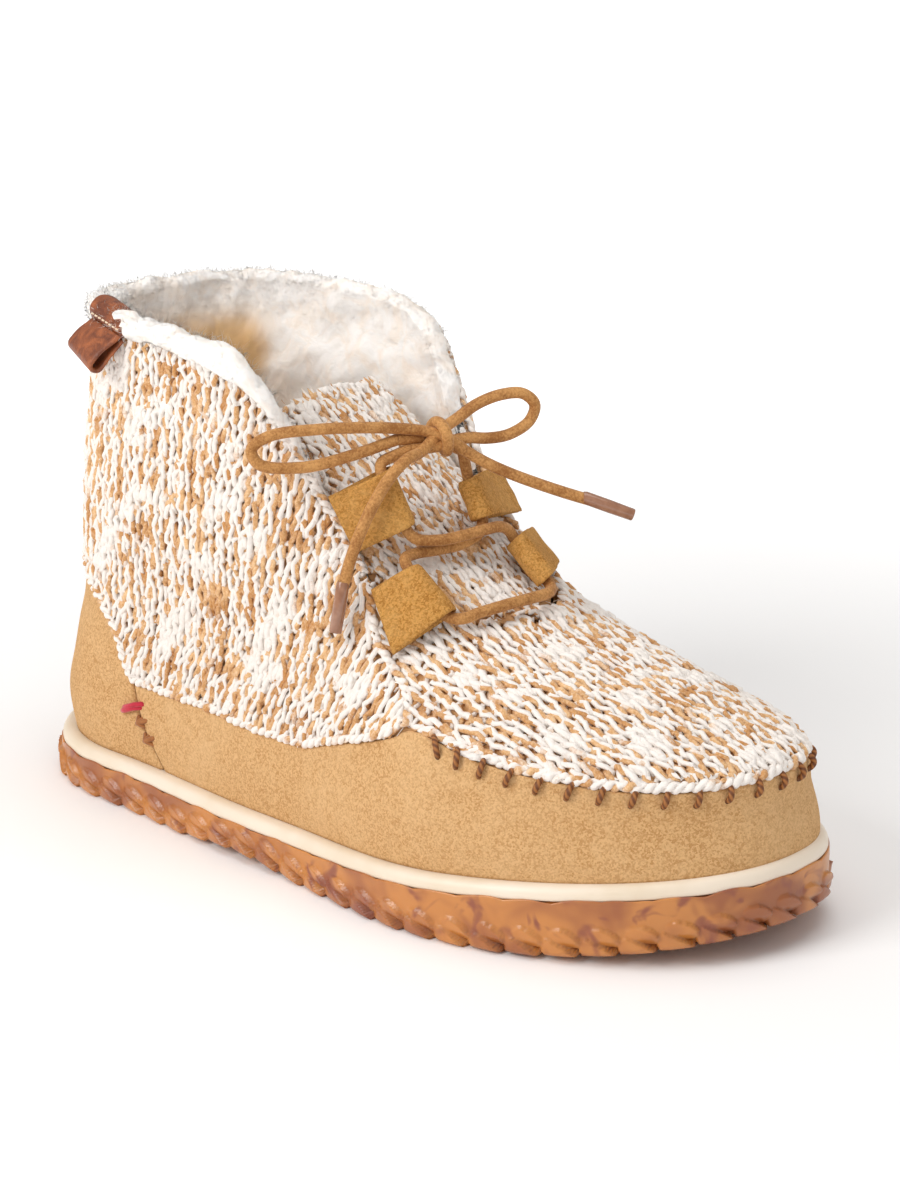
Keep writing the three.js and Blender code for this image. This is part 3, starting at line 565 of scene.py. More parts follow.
# Underside, from the wall's foot in to the spine along the middle, with the rim's leaves carried on.
UNDER_ROWS = 34
LEAF_REACH = 13.0
under_share = np.linspace(0, 1, UNDER_ROWS)[1:, None]
spine_y = 10 * np.clip((rim_x / SOLE_LENGTH + 0.1) / 0.6, 0, 1) ** 2 + MIDDLE_Y
spine_x = rim_x * 0.93
under_x = low_x[-1] + (spine_x - low_x[-1]) * under_share
under_y = low_y[-1] + (spine_y - low_y[-1]) * under_share
under_inset = np.hypot(under_x - rim_x, under_y - rim_y)
rim_half = 0.46 * leaf_pitch * np.clip(1 - (under_inset / LEAF_REACH) ** 2, 0, 1) ** 0.6
rim_on = rim_leaves(rim_arc[None], LEAF_LEAN * (2.8 + 0.6 * under_inset), rim_half)[0]
rim_on = rim_on * (under_inset < LEAF_REACH)


def middle_lugs(x, y):
    """Share of the lugs along the middle of the tread: leaves, pointed at both ends, in pairs."""
    share = np.zeros_like(x)
    for place in (-100, -78, -56, 22, 44, 66, 88):
        for side in (-1, 1):
            across = MIDDLE_Y + side * 11 + (3 if place > 60 else 0)
            turn = side * 0.9
            u = (x - place) * np.cos(turn) + (y - across) * np.sin(turn)
            v = (y - across) * np.cos(turn) - (x - place) * np.sin(turn)
            leaf = 1 - (np.abs(u) / 10.5) ** 1.5 - (np.abs(v) / 6.0) ** 1.5
            share = np.maximum(share, ease(leaf * 4 + 0.4))
    return share


under_on = np.maximum(rim_on, middle_lugs(under_x, under_y))
under_z = ground(under_x) + LUG_HEIGHT * (1 - under_on)
gum_points = np.concatenate([
    np.stack([top_x, top_y, top_z], axis=-1),
    np.stack([low_x, low_y, low_z], axis=-1),
    np.stack([under_x, under_y, under_z], axis=-1),
])
gum_faces = grid_faces(len(gum_points), RIM_STEPS, True)[:, ::-1]

gum_finish = new_finish("marbled_gum", {
    "Roughness": 0.36, "Coat Weight": 0.3, "Coat Roughness": 0.22, "Subsurface Weight": 0.06,
    "Subsurface Radius": (0.004, 0.0018, 0.0008), "Subsurface Scale": 1.0,
})
gum_places = object_places(gum_finish)
gum_cloud = noise(gum_finish, gum_places, 60.0, 2.0, 0.5, 0.6)
gum_vein = noise(gum_finish, gum_places, 110.0, 2.0, 0.5, 0.9)
gum_warm = blend_colours(
    gum_finish, spread(gum_finish, gum_cloud, 0.36, 0.6), colour(160, 92, 48), colour(200, 130, 64),
)
gum_veined = blend_colours(
    gum_finish, spread(gum_finish, gum_vein, 0.54, 0.72), gum_warm, colour(146, 80, 54),
)
gum_grain = noise(gum_finish, gum_places, 900.0, 2.0)
join_shader(gum_finish, {
    "Base Color": gum_veined,
    "Roughness": spread(gum_finish, gum_vein, 0.3, 0.7, 0.28, 0.46),
    "Normal": bump(gum_finish, gum_grain, 0.0002, 0.25),
})
outsole = put_mesh("gum_outsole", gum_points.reshape(-1, 3), [gum_faces], gum_finish)
join_boot(outsole, "outsole")


# Midsole: a smooth band of cream foam rubber between the gum and the suede. The gum was poured
# against it and laps over its lower edge in shallow waves.
# Rows of the band's section: inset from the sole's edge and rise over the gum.
band_rows = [
    (4.0, 0.0), (0.6, 0.0), (0.3, 0.1), (0.05, 0.4), (-0.05, 0.9), (0.0, 1.6), (0.15, 2.3), (0.45, 2.9),
    (0.85, 3.45), (1.4, 3.85), (2.2, 4.1), (3.2, 4.2), (5.0, 4.2),
]
band_inset = np.array(band_rows)[:, :1]
band_rise = np.array(band_rows)[:, 1:]
band_shape = (len(band_rows), RIM_STEPS)
band_angle = np.broadcast_to(sole_angle, band_shape)
band_x, band_y = sole_edge(band_angle, np.broadcast_to(band_inset, band_shape))
band_z = sole_top(rim_x) - CREAM_HEIGHT + band_rise
band_points = np.stack([band_x, band_y, band_z], axis=-1)
cream_finish = new_finish("cream_foam_rubber", {
    "Roughness": 0.42, "Coat Weight": 0.12, "Coat Roughness": 0.35,
})
cream_places = object_places(cream_finish)
cream_cloud = noise(cream_finish, cream_places, 45.0, 3.0)
cream_grain = noise(cream_finish, cream_places, 700.0, 2.0)
cream_share = spread(cream_finish, cream_cloud, 0.35, 0.7)
join_shader(cream_finish, {
    "Base Color": blend_colours(cream_finish, cream_share, colour(238, 223, 203), colour(228, 210, 184)),
    "Normal": bump(cream_finish, cream_grain, 0.0002, 0.2),
})
band_faces = grid_faces(len(band_rows), RIM_STEPS, True)
midsole = put_mesh("cream_midsole", band_points.reshape(-1, 3), [band_faces], cream_finish)
join_boot(midsole, "midsole")


# Footbed: a loose pad of foam covered with tan plush, which fills the sole inside the upper. It lies
# on the sole, and its edges are rounded against the wall.
def smooth_table(rows, along):
    """Smooth line through rows of values. Between two rows it is a cubic whose end slopes are the
    harmonic means of the neighbouring rises, and it stays level past both ends."""
    rows = np.asarray(rows, float)
    knots, values = rows[:, 0], rows[:, 1:]
    rise = np.diff(values, axis=0) / np.diff(knots)[:, None]
    product = rise[:-1] * rise[1:]
    total = np.where(product > 0, rise[:-1] + rise[1:], 1.0)
    slope = np.concatenate([rise[:1], np.where(product > 0, 2 * product / total, 0), rise[-1:]])
    along = np.clip(along, knots[0], knots[-1])
    place = np.clip(np.searchsorted(knots, along, side="right") - 1, 0, len(knots) - 2)
    width = (knots[place + 1] - knots[place])[..., None]
    t = (along - knots[place])[..., None] / width
    smooth = values[place] + (values[place + 1] - values[place]) * t * t * (3 - 2 * t)
    return smooth + t * (1 - t) ** 2 * width * slope[place] + t * t * (t - 1) * width * slope[place + 1]


# Columns: height, back, front, half widths of heel, waist, ball and toe's rounded share on both sides, swing.
SLICES = [
    [10, -122, 122, 37, 43, 38, 52, 47, 0.42, 0.34, 10],
    [26, -125, 125, 38.5, 44.5, 39.5, 54, 49, 0.42, 0.36, 10],
    [40, -122, 122, 38, 43, 39, 52, 47, 0.42, 0.38, 10],
    [48, -120, 122, 38, 42, 39, 50, 47, 0.42, 0.4, 9],
    [58, -117, 97, 37.5, 40.5, 38.5, 45.5, 44, 0.54, 0.54, 7],
    [72, -115, 48, 38, 40, 39, 42, 42, 0.48, 0.48, 4],
    [90, -113.5, 22, 39, 41, 40, 42, 42, 0.42, 0.42, 2],
    [110, -111, 9, 39, 41, 40, 42, 42, 0.42, 0.42, 1],
    [135, -108, 4, 39, 41, 40.5, 42, 42, 0.44, 0.44, 0],
    [165, -107, 2, 39, 41, 41, 42, 42, 0.44, 0.44, 0],
]


def skin(angle, z):
    """Outer skin of the boot at an angle and a height, from level slices: each row holds a height, both
    ends, the half widths, the rounded share of the toe, and the swing of the tip."""
    angle, z = np.broadcast_arrays(np.asarray(angle, float), np.asarray(z, float))
    x, y = outline_point(smooth_table(SLICES, z), angle)
    return np.stack([x, y, z], axis=-1)


def lifted(surface, angle, z, distance):
    """Point of a surface moved outwards along its normal, which is the cross product of the
    differences around and up, and that normal."""
    around = surface(angle + 0.4, z) - surface(angle - 0.4, z)
    up = surface(angle, z + 0.3) - surface(angle, z - 0.3)
    normal = unit(np.cross(around, up))
    return surface(angle, z) + normal * np.asarray(distance)[..., None], normal


def feather(angle):
    """Height at which the skin meets the sole: the sole's top at the skin's own place, found in turns."""
    z = np.full(np.shape(angle), FEATHER_HEEL)
    for _ in range(6):
        z = sole_top(skin(angle, z)[..., 0])
    return z + 0.3


PAD_STEPS = 240
pad_angle = np.linspace(0, 360, PAD_STEPS, endpoint=False)
pad_edge = lifted(skin, pad_angle, feather(pad_angle) + 2, np.full(PAD_STEPS, -4.2))[0]
pad_share = np.array([0.3, 0.02, 0.0, 0.02, 0.06, 0.12, 0.2, 0.32, 0.46, 0.6, 0.75, 0.9, 1.0])[:, None]
pad_rise = np.array([0.3, 0.3, 1.6, 3.2, 4.2, 4.6, 4.8, 4.9, 5.0, 5.0, 5.0, 5.0, 5.0])[:, None]
pad_x = pad_edge[:, 0] * (1 - 0.06 * pad_share)
pad_middle = 8 * np.clip((pad_edge[:, 0] / SOLE_LENGTH + 0.1) / 0.6, 0, 1) ** 2 + MIDDLE_Y
pad_y = pad_edge[:, 1] * (1 - pad_share) + pad_middle * pad_share
pad_z = sole_top(pad_x) + pad_rise
pad_points = np.stack([pad_x, pad_y, pad_z], axis=-1)
pad_lump = ripple(pad_points[..., :2], 7.0, 5) + 0.6 * ripple(pad_points[..., :2], 3.0, 6)
pad_points[..., 2] += 0.35 * pad_lump * np.clip(pad_rise - 1, 0, 1)
footbed_finish = new_finish("plush_footbed", {
    "Roughness": 0.95, "Sheen Weight": 0.4, "Sheen Roughness": 0.6, "Sheen Tint": colour(240, 220, 190),
})
footbed_places = object_places(footbed_finish)
footbed_tuft = noise(footbed_finish, footbed_places, 420.0, 4.0, 0.65)
footbed_share = spread(footbed_finish, footbed_tuft, 0.3, 0.7)
join_shader(footbed_finish, {
    "Base Color": blend_colours(footbed_finish, footbed_share, colour(196, 160, 112), colour(230, 208, 172)),
    "Normal": bump(footbed_finish, footbed_tuft, 0.0015, 0.8),
})
pad_faces = grid_faces(len(pad_rise), PAD_STEPS, True)
footbed = put_mesh("plush_footbed", pad_points.reshape(-1, 3), [pad_faces], footbed_finish)
join_boot(footbed, "insole")


# Backing of the upper: a shaped wall of jersey and felt from the sole to the collar, open at the throat.
# The knit is quilted onto it above the suede; it shows in the gaps between stitches, coloured tan-brown as
# painted shade.
# Columns: SUEDE_EDGE angle and height; QUARTER_TOP and PLUG_END share of the way, angle and height.
SUEDE_EDGE = [
    [0, 76], [18, 73], [30, 68], [38, 63], [44.5, 56.5], [47.5, 49.5], [50.5, 42], [52.5, 39], [60, 39],
    [70, 39.6], [80, 38.6], [88, 39], [96, 44.2], [106, 51], [111, 53.8], [113, 53.4], [117, 51.4],
    [122, 49.9], [128, 48.6], [137, 47.5], [147, 46.9], [157, 47], [167, 47.8], [180, 48],
]
PLUG_CORNER = 111.0
THROAT_CORNER = 139.5
QUARTER_TOP = [
    [0, 0, 143], [0.3, 48, 143.5], [0.55, 88, 143], [0.66, 106, 141], [0.73, 118, 136], [0.79, 126, 127],
    [0.87, 136, 110], [0.94, 140, 96], [1, THROAT_CORNER, 84],
]
PLUG_END = [[0, THROAT_CORNER, 84], [0.2, 147, 79], [0.5, 159, 75.5], [1, 180, 74]]


def suede_edge(angle):
    """Height of the suede's top edge at an angle from the heel, the same on both sides."""
    turn = np.mod(angle, 360)
    return smooth_table(SUEDE_EDGE, np.minimum(turn, 360 - turn))[..., 0]


side_share = np.linspace(0, 1, 91)
plug_share = np.linspace(0, 1, 46)[1:]
side_low = np.concatenate([PLUG_CORNER * side_share, PLUG_CORNER + (180 - PLUG_CORNER) * plug_share])
side_high, side_top = np.concatenate([
    smooth_table(QUARTER_TOP, side_share), smooth_table(PLUG_END, plug_share),
]).T
ring_low = np.concatenate([side_low, -side_low[-2:0:-1]])
ring_high = np.concatenate([side_high, -side_high[-2:0:-1]])
ring_top = np.concatenate([side_top, side_top[-2:0:-1]])
ring_depth = np.where(np.abs(ring_low) > PLUG_CORNER, -1.3, -1.0)
FOOT_ROWS = 6
KNIT_ROWS = 28
foot_rise = np.linspace(0, 1, FOOT_ROWS, endpoint=False)[:, None]
knit_rise = np.linspace(0, 1, KNIT_ROWS)[:, None]
ring_foot = feather(ring_low)
ring_edge = suede_edge(ring_low)
back_angle = np.concatenate([
    np.broadcast_to(ring_low, (FOOT_ROWS, len(ring_low))), ring_low + (ring_high - ring_low) * knit_rise,
])
back_height = np.concatenate([
    ring_foot + (ring_edge - ring_foot) * foot_rise, ring_edge + (ring_top - 0.8 - ring_edge) * knit_rise,
])
back_depth = np.concatenate([
    np.full((FOOT_ROWS, len(ring_low)), -2.0), np.broadcast_to(ring_depth, (KNIT_ROWS, len(ring_low))),
])
back_outside = lifted(skin, back_angle, back_height, back_depth)[0]
back_inside = lifted(skin, back_angle, back_height, np.full(back_angle.shape, -3.3))[0]
backing_points = np.concatenate([back_outside, back_inside[::-1]])
# Painted shade: the backing is coloured warm tan-brown so that the gaps between stitches look shadowed.
backing_shade_finish = new_finish("jersey_painted_gap_shade", {"Roughness": 0.95})
backing_places = object_places(backing_shade_finish)
backing_rib = noise(backing_shade_finish, backing_places, 800.0, 3.0)
join_shader(backing_shade_finish, {
    "Base Color": blend_colours(backing_shade_finish, backing_rib, colour(196, 142, 90), colour(226, 180, 128)),
    "Normal": bump(backing_shade_finish, backing_rib, 0.0005, 0.5),
})
backing = put_mesh(
    "upper_backing", backing_points.reshape(-1, 3),
    [grid_faces(len(backing_points), len(ring_low), True, True)], backing_shade_finish,
)
join_boot(backing, "upper")


# Knit of the quarters: plain stockinette of a thick marled yarn of one white and one tan ply, which
# swells to a white slub here and there. It wraps the heel in level rows, and its wales stand upright.
STITCH_STEPS = 10
PLY_SIDES = 5
LEG_SWAY = 0.19
LOOP_RISE = 0.8


def stitch_grid(rows, first, last):
    """Stitch and row numbers along each yarn of a knit, and the turn that the yarn has made."""
    stitch = np.arange(first * STITCH_STEPS, last * STITCH_STEPS + 1) / STITCH_STEPS
    stitch, row = np.broadcast_arrays(stitch[None, :], rows[:, None] * 1.0)
    return stitch, row, 2 * np.pi * stitch


def knit_yarn(place, rows, first, last, wale, course, seed):
    """Yarn of a plain knit. At turn t of a stitch it stands (t / 2 pi + leg sway times sin 2t) wales
    across, loop rise times cos t courses above its row, and -0.6 cos 2t mm off the cloth, so that the
    legs lie in front and each head goes behind the stitch above; uneven fields shift all three. Gives
    its path, the normal, the slubs, where the tan ply turns white, and the share of white in the other."""
    stitch, row, turn = stitch_grid(rows, first, last)
    spot = np.stack([stitch, row], axis=-1)
    slip = np.stack([ripple(spot, 2.3, seed), ripple(spot, 1.7, seed + 1), ripple(spot, 1.5, seed + 2)])
    across = wale * (stitch + LEG_SWAY * np.sin(2 * turn) + 0.12 * slip[0])
    along = course * (row + LOOP_RISE * np.cos(turn) + 0.16 * slip[1])
    point, normal = place(across, along)
    patch = 0.8 * ripple(spot * [0.8, 0.7], 4.2, seed + 3) + 0.6 * ripple(spot * [0.45, 2.4], 1.6, seed + 4)
    slub = ease((patch - 0.4) / 0.5)
    off = -0.6 * np.cos(2 * turn) + 0.25 * slip[2] + 0.15 * slub
    return point + normal * off[..., None], normal, slub, ease((patch + 1.15) / 0.5)


def cut_knit(name, yarn, kept, node):
    """Piece of knit: each kept yarn as two plies that wind unevenly around each other, with the white
    one mostly in front. The other is tan and turns white at the slubs. Cut ends are drawn to a point,
    and points that no face uses are left out."""
    path, normal, slub, white = yarn
    side = unit(np.cross(np.gradient(path, axis=1), normal))
    wind = 2.3 * ripple(path, 7.0, 17) - 0.8
    apart = (0.58 + 0.12 * slub)[..., None]
    shift = apart * (np.cos(wind)[..., None] * side + 0.6 * np.sin(wind)[..., None] * normal)
    kept = np.concatenate([kept, kept])
    before = np.pad(kept[:, :-1], ((0, 0), (1, 0)))
    after = np.pad(kept[:, 1:], ((0, 0), (0, 1)))
    thick = np.concatenate([0.84 + 0.22 * slub, 0.82 + 0.22 * slub])
    thick = np.where(before & after, thick, 0.08)
    plies = np.concatenate([path + shift, path - shift])
    points, faces, uv = tubes(plies, np.concatenate([normal, normal]), thick, PLY_SIDES, kept)
    used, faces = np.unique(faces, return_inverse=True)
    marks = {"white": np.repeat(np.concatenate([slub, white]).ravel(), PLY_SIDES)[used]}
    piece = put_mesh(name, points[used], [faces.reshape(-1, 4)], yarn_finish, uv, marks)
    join_boot(piece, node)


LEVEL_FOOT = 30.0
LEVEL_STEP = 2.0
KNIT_LEVELS = LEVEL_FOOT + LEVEL_STEP * np.arange(62)
ARC_REACH = 240


def wale_angles(side):
    """Angle of the skin at each level and each millimetre of arc from the back of the heel."""
    angles = side * np.linspace(0, 156, 625)
    gone = length_along(skin(angles[None], KNIT_LEVELS[:, None]))
    return np.stack([np.interp(np.arange(ARC_REACH + 1), level, angles) for level in gone])


outer_angles = wale_angles(1)
inner_angles = wale_angles(-1)


def quarter_angle(arc, z):
    """Angle of the skin at an arc from the back of the heel and a height, between the table's four
    nearest values; the inner side has negative arcs."""
    level = np.clip((z - LEVEL_FOOT) / LEVEL_STEP, 0, len(KNIT_LEVELS) - 1.001)
    mm = np.clip(np.abs(arc), 0, ARC_REACH - 0.001)
    i, j = level.astype(int), mm.astype(int)
    u, v = level - i, mm - j

    def between(table):
        low = table[i, j] * (1 - v) + table[i, j + 1] * v
        return low * (1 - u) + (table[i + 1, j] * (1 - v) + table[i + 1, j + 1] * v) * u

    return np.where(arc >= 0, between(outer_angles), between(inner_angles))


QUARTER_FOOT = 34.0
COURSE = 3.75
WALE = 5.0


def quarter_place(across, along):
    """Middle of the quarter's cloth at an arc and a height above its foot."""
    z = QUARTER_FOOT + along
    return lifted(skin, quarter_angle(across, z), z, np.full(z.shape, -0.1))


def front_edge(angle):
    """Height of the quarter's front edge: a straight line from 54 at the plug's corner to 84 at the
    throat's corner."""
    return 54 + (angle - PLUG_CORNER) * 30 / (THROAT_CORNER - PLUG_CORNER)


def collar_edge(angle):
    """Height of the collar and of the throat's side at an angle."""
    rising = np.array(QUARTER_TOP)[:-1, 1:]
    return smooth_table(rising, angle)[..., 0]


yarn_finish = new_finish("marled_yarn", {
    "Roughness": 0.9, "Sheen Weight": 0.3, "Sheen Roughness": 0.5, "Sheen Tint": colour(255, 246, 235),
    "Specular IOR Level": 0.2,
})
yarn_uv = add_node(yarn_finish, "UVMap", {}, uv_map="along").outputs["UV"]
yarn_ply = add_node(yarn_finish, "Attribute", {}, attribute_name="white").outputs["Fac"]
yarn_cloud = noise(yarn_finish, object_places(yarn_finish), 130.0, 2.0)
yarn_stretch = add_node(yarn_finish, "VectorMath", {0: yarn_uv, 1: (1.4, 5.0, 0.0)}, operation="MULTIPLY")
yarn_fibre = noise(yarn_finish, yarn_stretch.outputs[0], 1.0, 4.0, 0.7)
yarn_share = spread(yarn_finish, weigh(yarn_finish, yarn_ply, 1.0, yarn_fibre, 0.8), 0.35, 1.1)
yarn_deep = spread(yarn_finish, weigh(yarn_finish, yarn_cloud, 1.0, yarn_fibre, 1.0), 0.75, 1.3)
yarn_tan = blend_colours(yarn_finish, yarn_deep, colour(196, 138, 80), colour(238, 196, 146))
yarn_pale = blend_colours(yarn_finish, yarn_fibre, colour(238, 226, 214), colour(253, 249, 245))
join_shader(yarn_finish, {
    "Base Color": blend_colours(yarn_finish, yarn_share, yarn_tan, yarn_pale),
    "Normal": bump(yarn_finish, yarn_fibre, 0.0006, 0.6),
})

quarter_rows = np.arange(0, 30)
for name, first, last in (("knit_quarter_outer", 0, 46), ("knit_quarter_inner", -46, 0)):
    yarn = knit_yarn(quarter_place, quarter_rows, first, last, WALE, COURSE, 11)
    stitch, row, turn = stitch_grid(quarter_rows, first, last)
    height = QUARTER_FOOT + COURSE * (row + LOOP_RISE * np.cos(turn))
    angle = np.abs(quarter_angle(WALE * (stitch + LEG_SWAY * np.sin(2 * turn)), height))
    low = np.where(angle < PLUG_CORNER, suede_edge(angle) - 0.4, front_edge(angle) + 0.4)
    kept = (height > low) & (height < collar_edge(angle) + 0.8) & (angle < THROAT_CORNER + 0.3)
    cut_knit(name, yarn, kept, "upper")


# Plug: the same knit over the toes, with its wales lengthwise. It is drawn down into the suede all
# round the toe, and ends at the throat.
def plug_height(x, y):
    """Height of the skin over a place (x, y) of the toe, halved in on between 40 and 80: the slice
    there has its half width equal to the distance from the middle line."""
    low = np.full(x.shape, 40.0)
    high = np.full(x.shape, 80.0)
    for _ in range(26):
        z = (low + high) / 2
        sizes = smooth_table(SLICES, z)
        share = (x - sizes[..., 0]) / (sizes[..., 1] - sizes[..., 0])
        held = np.clip(share, 0, 1)
        middle = slice_half(sizes, held, True)[1]
        half = slice_half(sizes, held, y < middle)[0]
        inside = (share < 1) & (np.abs(y - middle) < half)
        low = np.where(inside, z, low)
        high = np.where(inside, high, z)
    return low


PLUG_BACK = 36.0
PLUG_MIDDLE = 4.0


def plug_place(across, along):
    """Middle of the plug's cloth at a side position and a length from the throat towards the toe."""
    x, y = PLUG_BACK + along, PLUG_MIDDLE - across

    def surface(px, py):
        return np.stack([px, py, plug_height(px, py)], axis=-1)

    lengthwise = surface(x + 0.6, y) - surface(x - 0.6, y)
    sideways = surface(x, y + 0.6) - surface(x, y - 0.6)
    normal = unit(np.cross(lengthwise, sideways))
    return surface(x, y) - 0.5 * normal, normal


def slice_angle(x, z):
    """Angle of the skin at a length and a height, from the share of its slice's length."""
    sizes = smooth_table(SLICES, z)
    share = (x - sizes[..., 0]) / (sizes[..., 1] - sizes[..., 0])
    return np.degrees(np.arccos(np.clip(1 - 2 * share, -1, 1)))


def plug_end(angle):
    """Height of the plug's end at the throat at an angle."""
    return smooth_table(np.array(PLUG_END)[:, 1:], angle)[..., 0]


PLUG_WALE = 4.8
plug_rows = np.arange(-7, 23)
yarn = knit_yarn(plug_place, plug_rows, -11, 11, PLUG_WALE, 3.95, 31)
plug_x, plug_z = yarn[0][..., 0], yarn[0][..., 2]
plug_angle = slice_angle(plug_x, np.clip(plug_z + 0.5, 40, 90))
plug_back = np.where(plug_angle < THROAT_CORNER, front_edge(plug_angle) + 1.5, plug_end(plug_angle) + 0.6)
kept = (plug_z > suede_edge(plug_angle) - 1.2) & (plug_z < plug_back) & (plug_angle > PLUG_CORNER - 3)
cut_knit("knit_plug", yarn, kept, "upper")


# Suede: a surround of tan split suede from the sole up to the plug and the quarters, and a counter
# around the heel, butted together at a side seam. Both are lasted into the sole under the pale band.
def suede_finish(name, dark, middle, light):
    """Brushed suede: a grain of short fibres and specks, faint nap strokes and slow clouds, and a soft
    sheen. The grain goes from dark to middle, and the nap lightens it."""
    finish = new_finish(name, {
        "Roughness": 0.92, "Sheen Weight": 0.2, "Sheen Roughness": 0.45, "Sheen Tint": light,
        "Specular IOR Level": 0.2,
    })
    places = object_places(finish)
    cloud = noise(finish, places, 34.0, 3.0, 0.55, 0.6)
    stroke = noise(finish, places, 300.0, 3.0, 0.6, 1.2)
    fibre = noise(finish, places, 3200.0, 3.0, 0.8)
    speck = add_node(finish, "TexVoronoi", {"Vector": places, "Scale": 2100.0}).outputs["Color"]
    grain = weigh(finish, fibre, 0.6, speck, 0.4)
    low = blend_colours(finish, spread(finish, grain, 0.36, 0.62), dark, middle)
    soft = weigh(finish, cloud, 0.5, stroke, 0.5)
    nap = blend_colours(finish, spread(finish, soft, 0.35, 0.75, 0.0, 0.6), low, light)
    fine = bump(finish, grain, 0.0007, 0.6)
    join_shader(finish, {"Base Color": nap, "Normal": bump(finish, stroke, 0.0008, 0.2, fine)})
    return finish


tan_suede = suede_finish("tan_suede", colour(190, 140, 86), colour(222, 178, 125), colour(230, 190, 140))
WHIP_PITCH = 8.3


def suede_panel(name, node, from_top, to_top, from_foot, to_foot, columns):
    """Panel between the sole and the suede edge; gives the angles and lengths along its top edge. Angle
    and height run evenly from foot to top; the section goes up the outside, over the rounded edge and
    down the inside, and is pinched shut at both side seams. Beside the plug the edge is drawn in at
    each whip stitch and swells between them."""
    edge_rise = [0.985, 0.995, 1.0, 0.995, 0.985]
    edge_depth = [0.0, -0.25, -0.6, -0.95, -1.2]
    rise = np.concatenate([np.linspace(0, 0.97, 30), edge_rise, np.linspace(0.9, 0.0, 8)])[:, None]
    depth = np.concatenate([np.full(30, 0.1), edge_depth, np.full(8, -1.3)])[:, None]
    across = np.linspace(0, 1, columns)
    top_angle = from_top + (to_top - from_top) * across
    angle = (from_foot + (to_foot - from_foot) * across) * (1 - rise) + top_angle * rise
    seam_angle = np.minimum(np.mod(top_angle, 360), 360 - np.mod(top_angle, 360))
    edge = suede_edge(top_angle) - np.where(seam_angle < 55, 0.9, 0.6)
    foot = feather(angle) - 0.2
    height = foot + (edge - foot) * rise
    arc = length_along(skin(top_angle, edge))
    near_top = np.exp(-(edge - height) / 3.2) * (seam_angle > PLUG_CORNER - 2)
    swell = (0.75 * np.sin(np.pi * arc / WHIP_PITCH) ** 2 - 0.35) * near_top
    slack = 0.35 * ripple(np.stack(np.broadcast_arrays(arc, height), axis=-1), 46.0, 3)
    outside = depth > -0.5
    offset = depth + np.where(outside, swell + slack * np.sin(np.pi * rise), 0.6 * swell)
    offset[:, [0, -1]] = -0.6
    points = lifted(skin, angle, height, offset)[0]
    piece = put_mesh(name, points.reshape(-1, 3), [grid_faces(len(rise), columns, False, True)], tan_suede)
    join_boot(piece, node)
    return top_angle, arc


SEAM_TOP = 52.0
SEAM_FOOT = 59.3
SEAM_HALF_GAP = 0.25
wrap_top = SEAM_TOP + SEAM_HALF_GAP
wrap_foot = SEAM_FOOT + SEAM_HALF_GAP
surround_angle, surround_arc = suede_panel(
    "suede_wrap", "suede_surround", wrap_top, 360 - wrap_top, wrap_foot, 360 - wrap_foot, 620,
)
heel_top = SEAM_TOP - SEAM_HALF_GAP
heel_foot = SEAM_FOOT - SEAM_HALF_GAP
suede_panel("suede_counter", "heel_counter", -heel_top, heel_top, -heel_foot, heel_foot, 240)


# Whip stitches: a thick brown waxed thread that lashes the suede's edge to the plug, out of a punched
# hole, over the edge and into the knit, about every eight millimetres.
thread_finish = new_finish("brown_waxed_thread", {"Roughness": 0.6})
thread_uv = add_node(thread_finish, "UVMap", {}, uv_map="along").outputs["UV"]
thread_parts = add_node(thread_finish, "SeparateXYZ", {0: thread_uv})
thread_turn = weigh(thread_finish, thread_parts.outputs[0], 4.0, thread_parts.outputs[1], 12.566)
thread_ply = add_node(thread_finish, "Math", {0: thread_turn}, operation="SINE").outputs[0]
# Painted shade: the thread darkens to near black where it goes into its punched hole.
thread_hole_shade = add_node(thread_finish, "Attribute", {}, attribute_name="hole_shade").outputs["Fac"]
thread_share = spread(thread_finish, thread_ply, -1.0, 1.0)
thread_tan = blend_colours(thread_finish, thread_share, colour(106, 58, 22), colour(164, 104, 50))
join_shader(thread_finish, {
    "Base Color": blend_colours(thread_finish, thread_hole_shade, thread_tan, colour(58, 30, 12)),
    "Normal": bump(thread_finish, thread_ply, 0.0002, 0.6),
})
whip_start, whip_end = np.interp([PLUG_CORNER, 360 - PLUG_CORNER], surround_angle, surround_arc)
whip_count = int((whip_end - whip_start) / WHIP_PITCH)
whip_arc = (np.ceil(whip_start / WHIP_PITCH) + np.arange(whip_count)) * WHIP_PITCH
whip_angle = np.interp(whip_arc, surround_arc, surround_angle)[:, None]
whip_step = np.linspace(0, 1, 15)[None, :]
whip_rise = -3.9 + 4.9 * whip_step
whip_off = -1.1 + 2.6 * np.sin(np.pi * np.clip(whip_step * 1.02, 0, 1)) ** 0.6
whip_lean = 0.9 * (whip_step - 0.3)
whip_height = suede_edge(whip_angle) - 0.6 + whip_rise
whip_path, whip_up = lifted(skin, whip_angle + whip_lean, whip_height, whip_off)
whip_thick = np.broadcast_to(0.72 + 0.14 * np.sin(np.pi * whip_step), whip_path.shape[:2])
THREAD_SIDES = 8
whip_points, whip_faces, whip_uv = tubes(whip_path, whip_up, whip_thick, THREAD_SIDES)
# The fifth of each stitch nearest the hole is marked for that painted shade.
whip_shade_near_hole = np.broadcast_to(np.clip(1 - whip_step * 5.0, 0, 1), whip_path.shape[:2])
whip_hole_shade = np.repeat(whip_shade_near_hole.ravel(), THREAD_SIDES)
whip = put_mesh("whip_stitches", whip_points, [whip_faces], thread_finish, whip_uv, {"hole_shade": whip_hole_shade})
join_boot(whip)


# Tacks: a few hand stitches across each side seam, which keep it shut: two strands of red yarn side by
# side at its top, and two small knots of brown yarn below them.
def tack(path_rows, thick):
    """Short stitch over the skin through rows of angle, height and lift."""
    rows = np.array(path_rows, float)
    path = smooth_path(lifted(skin, rows[:, 0], rows[:, 1], rows[:, 2])[0], 14)
    return one_tube(path, thick, THREAD_SIDES)


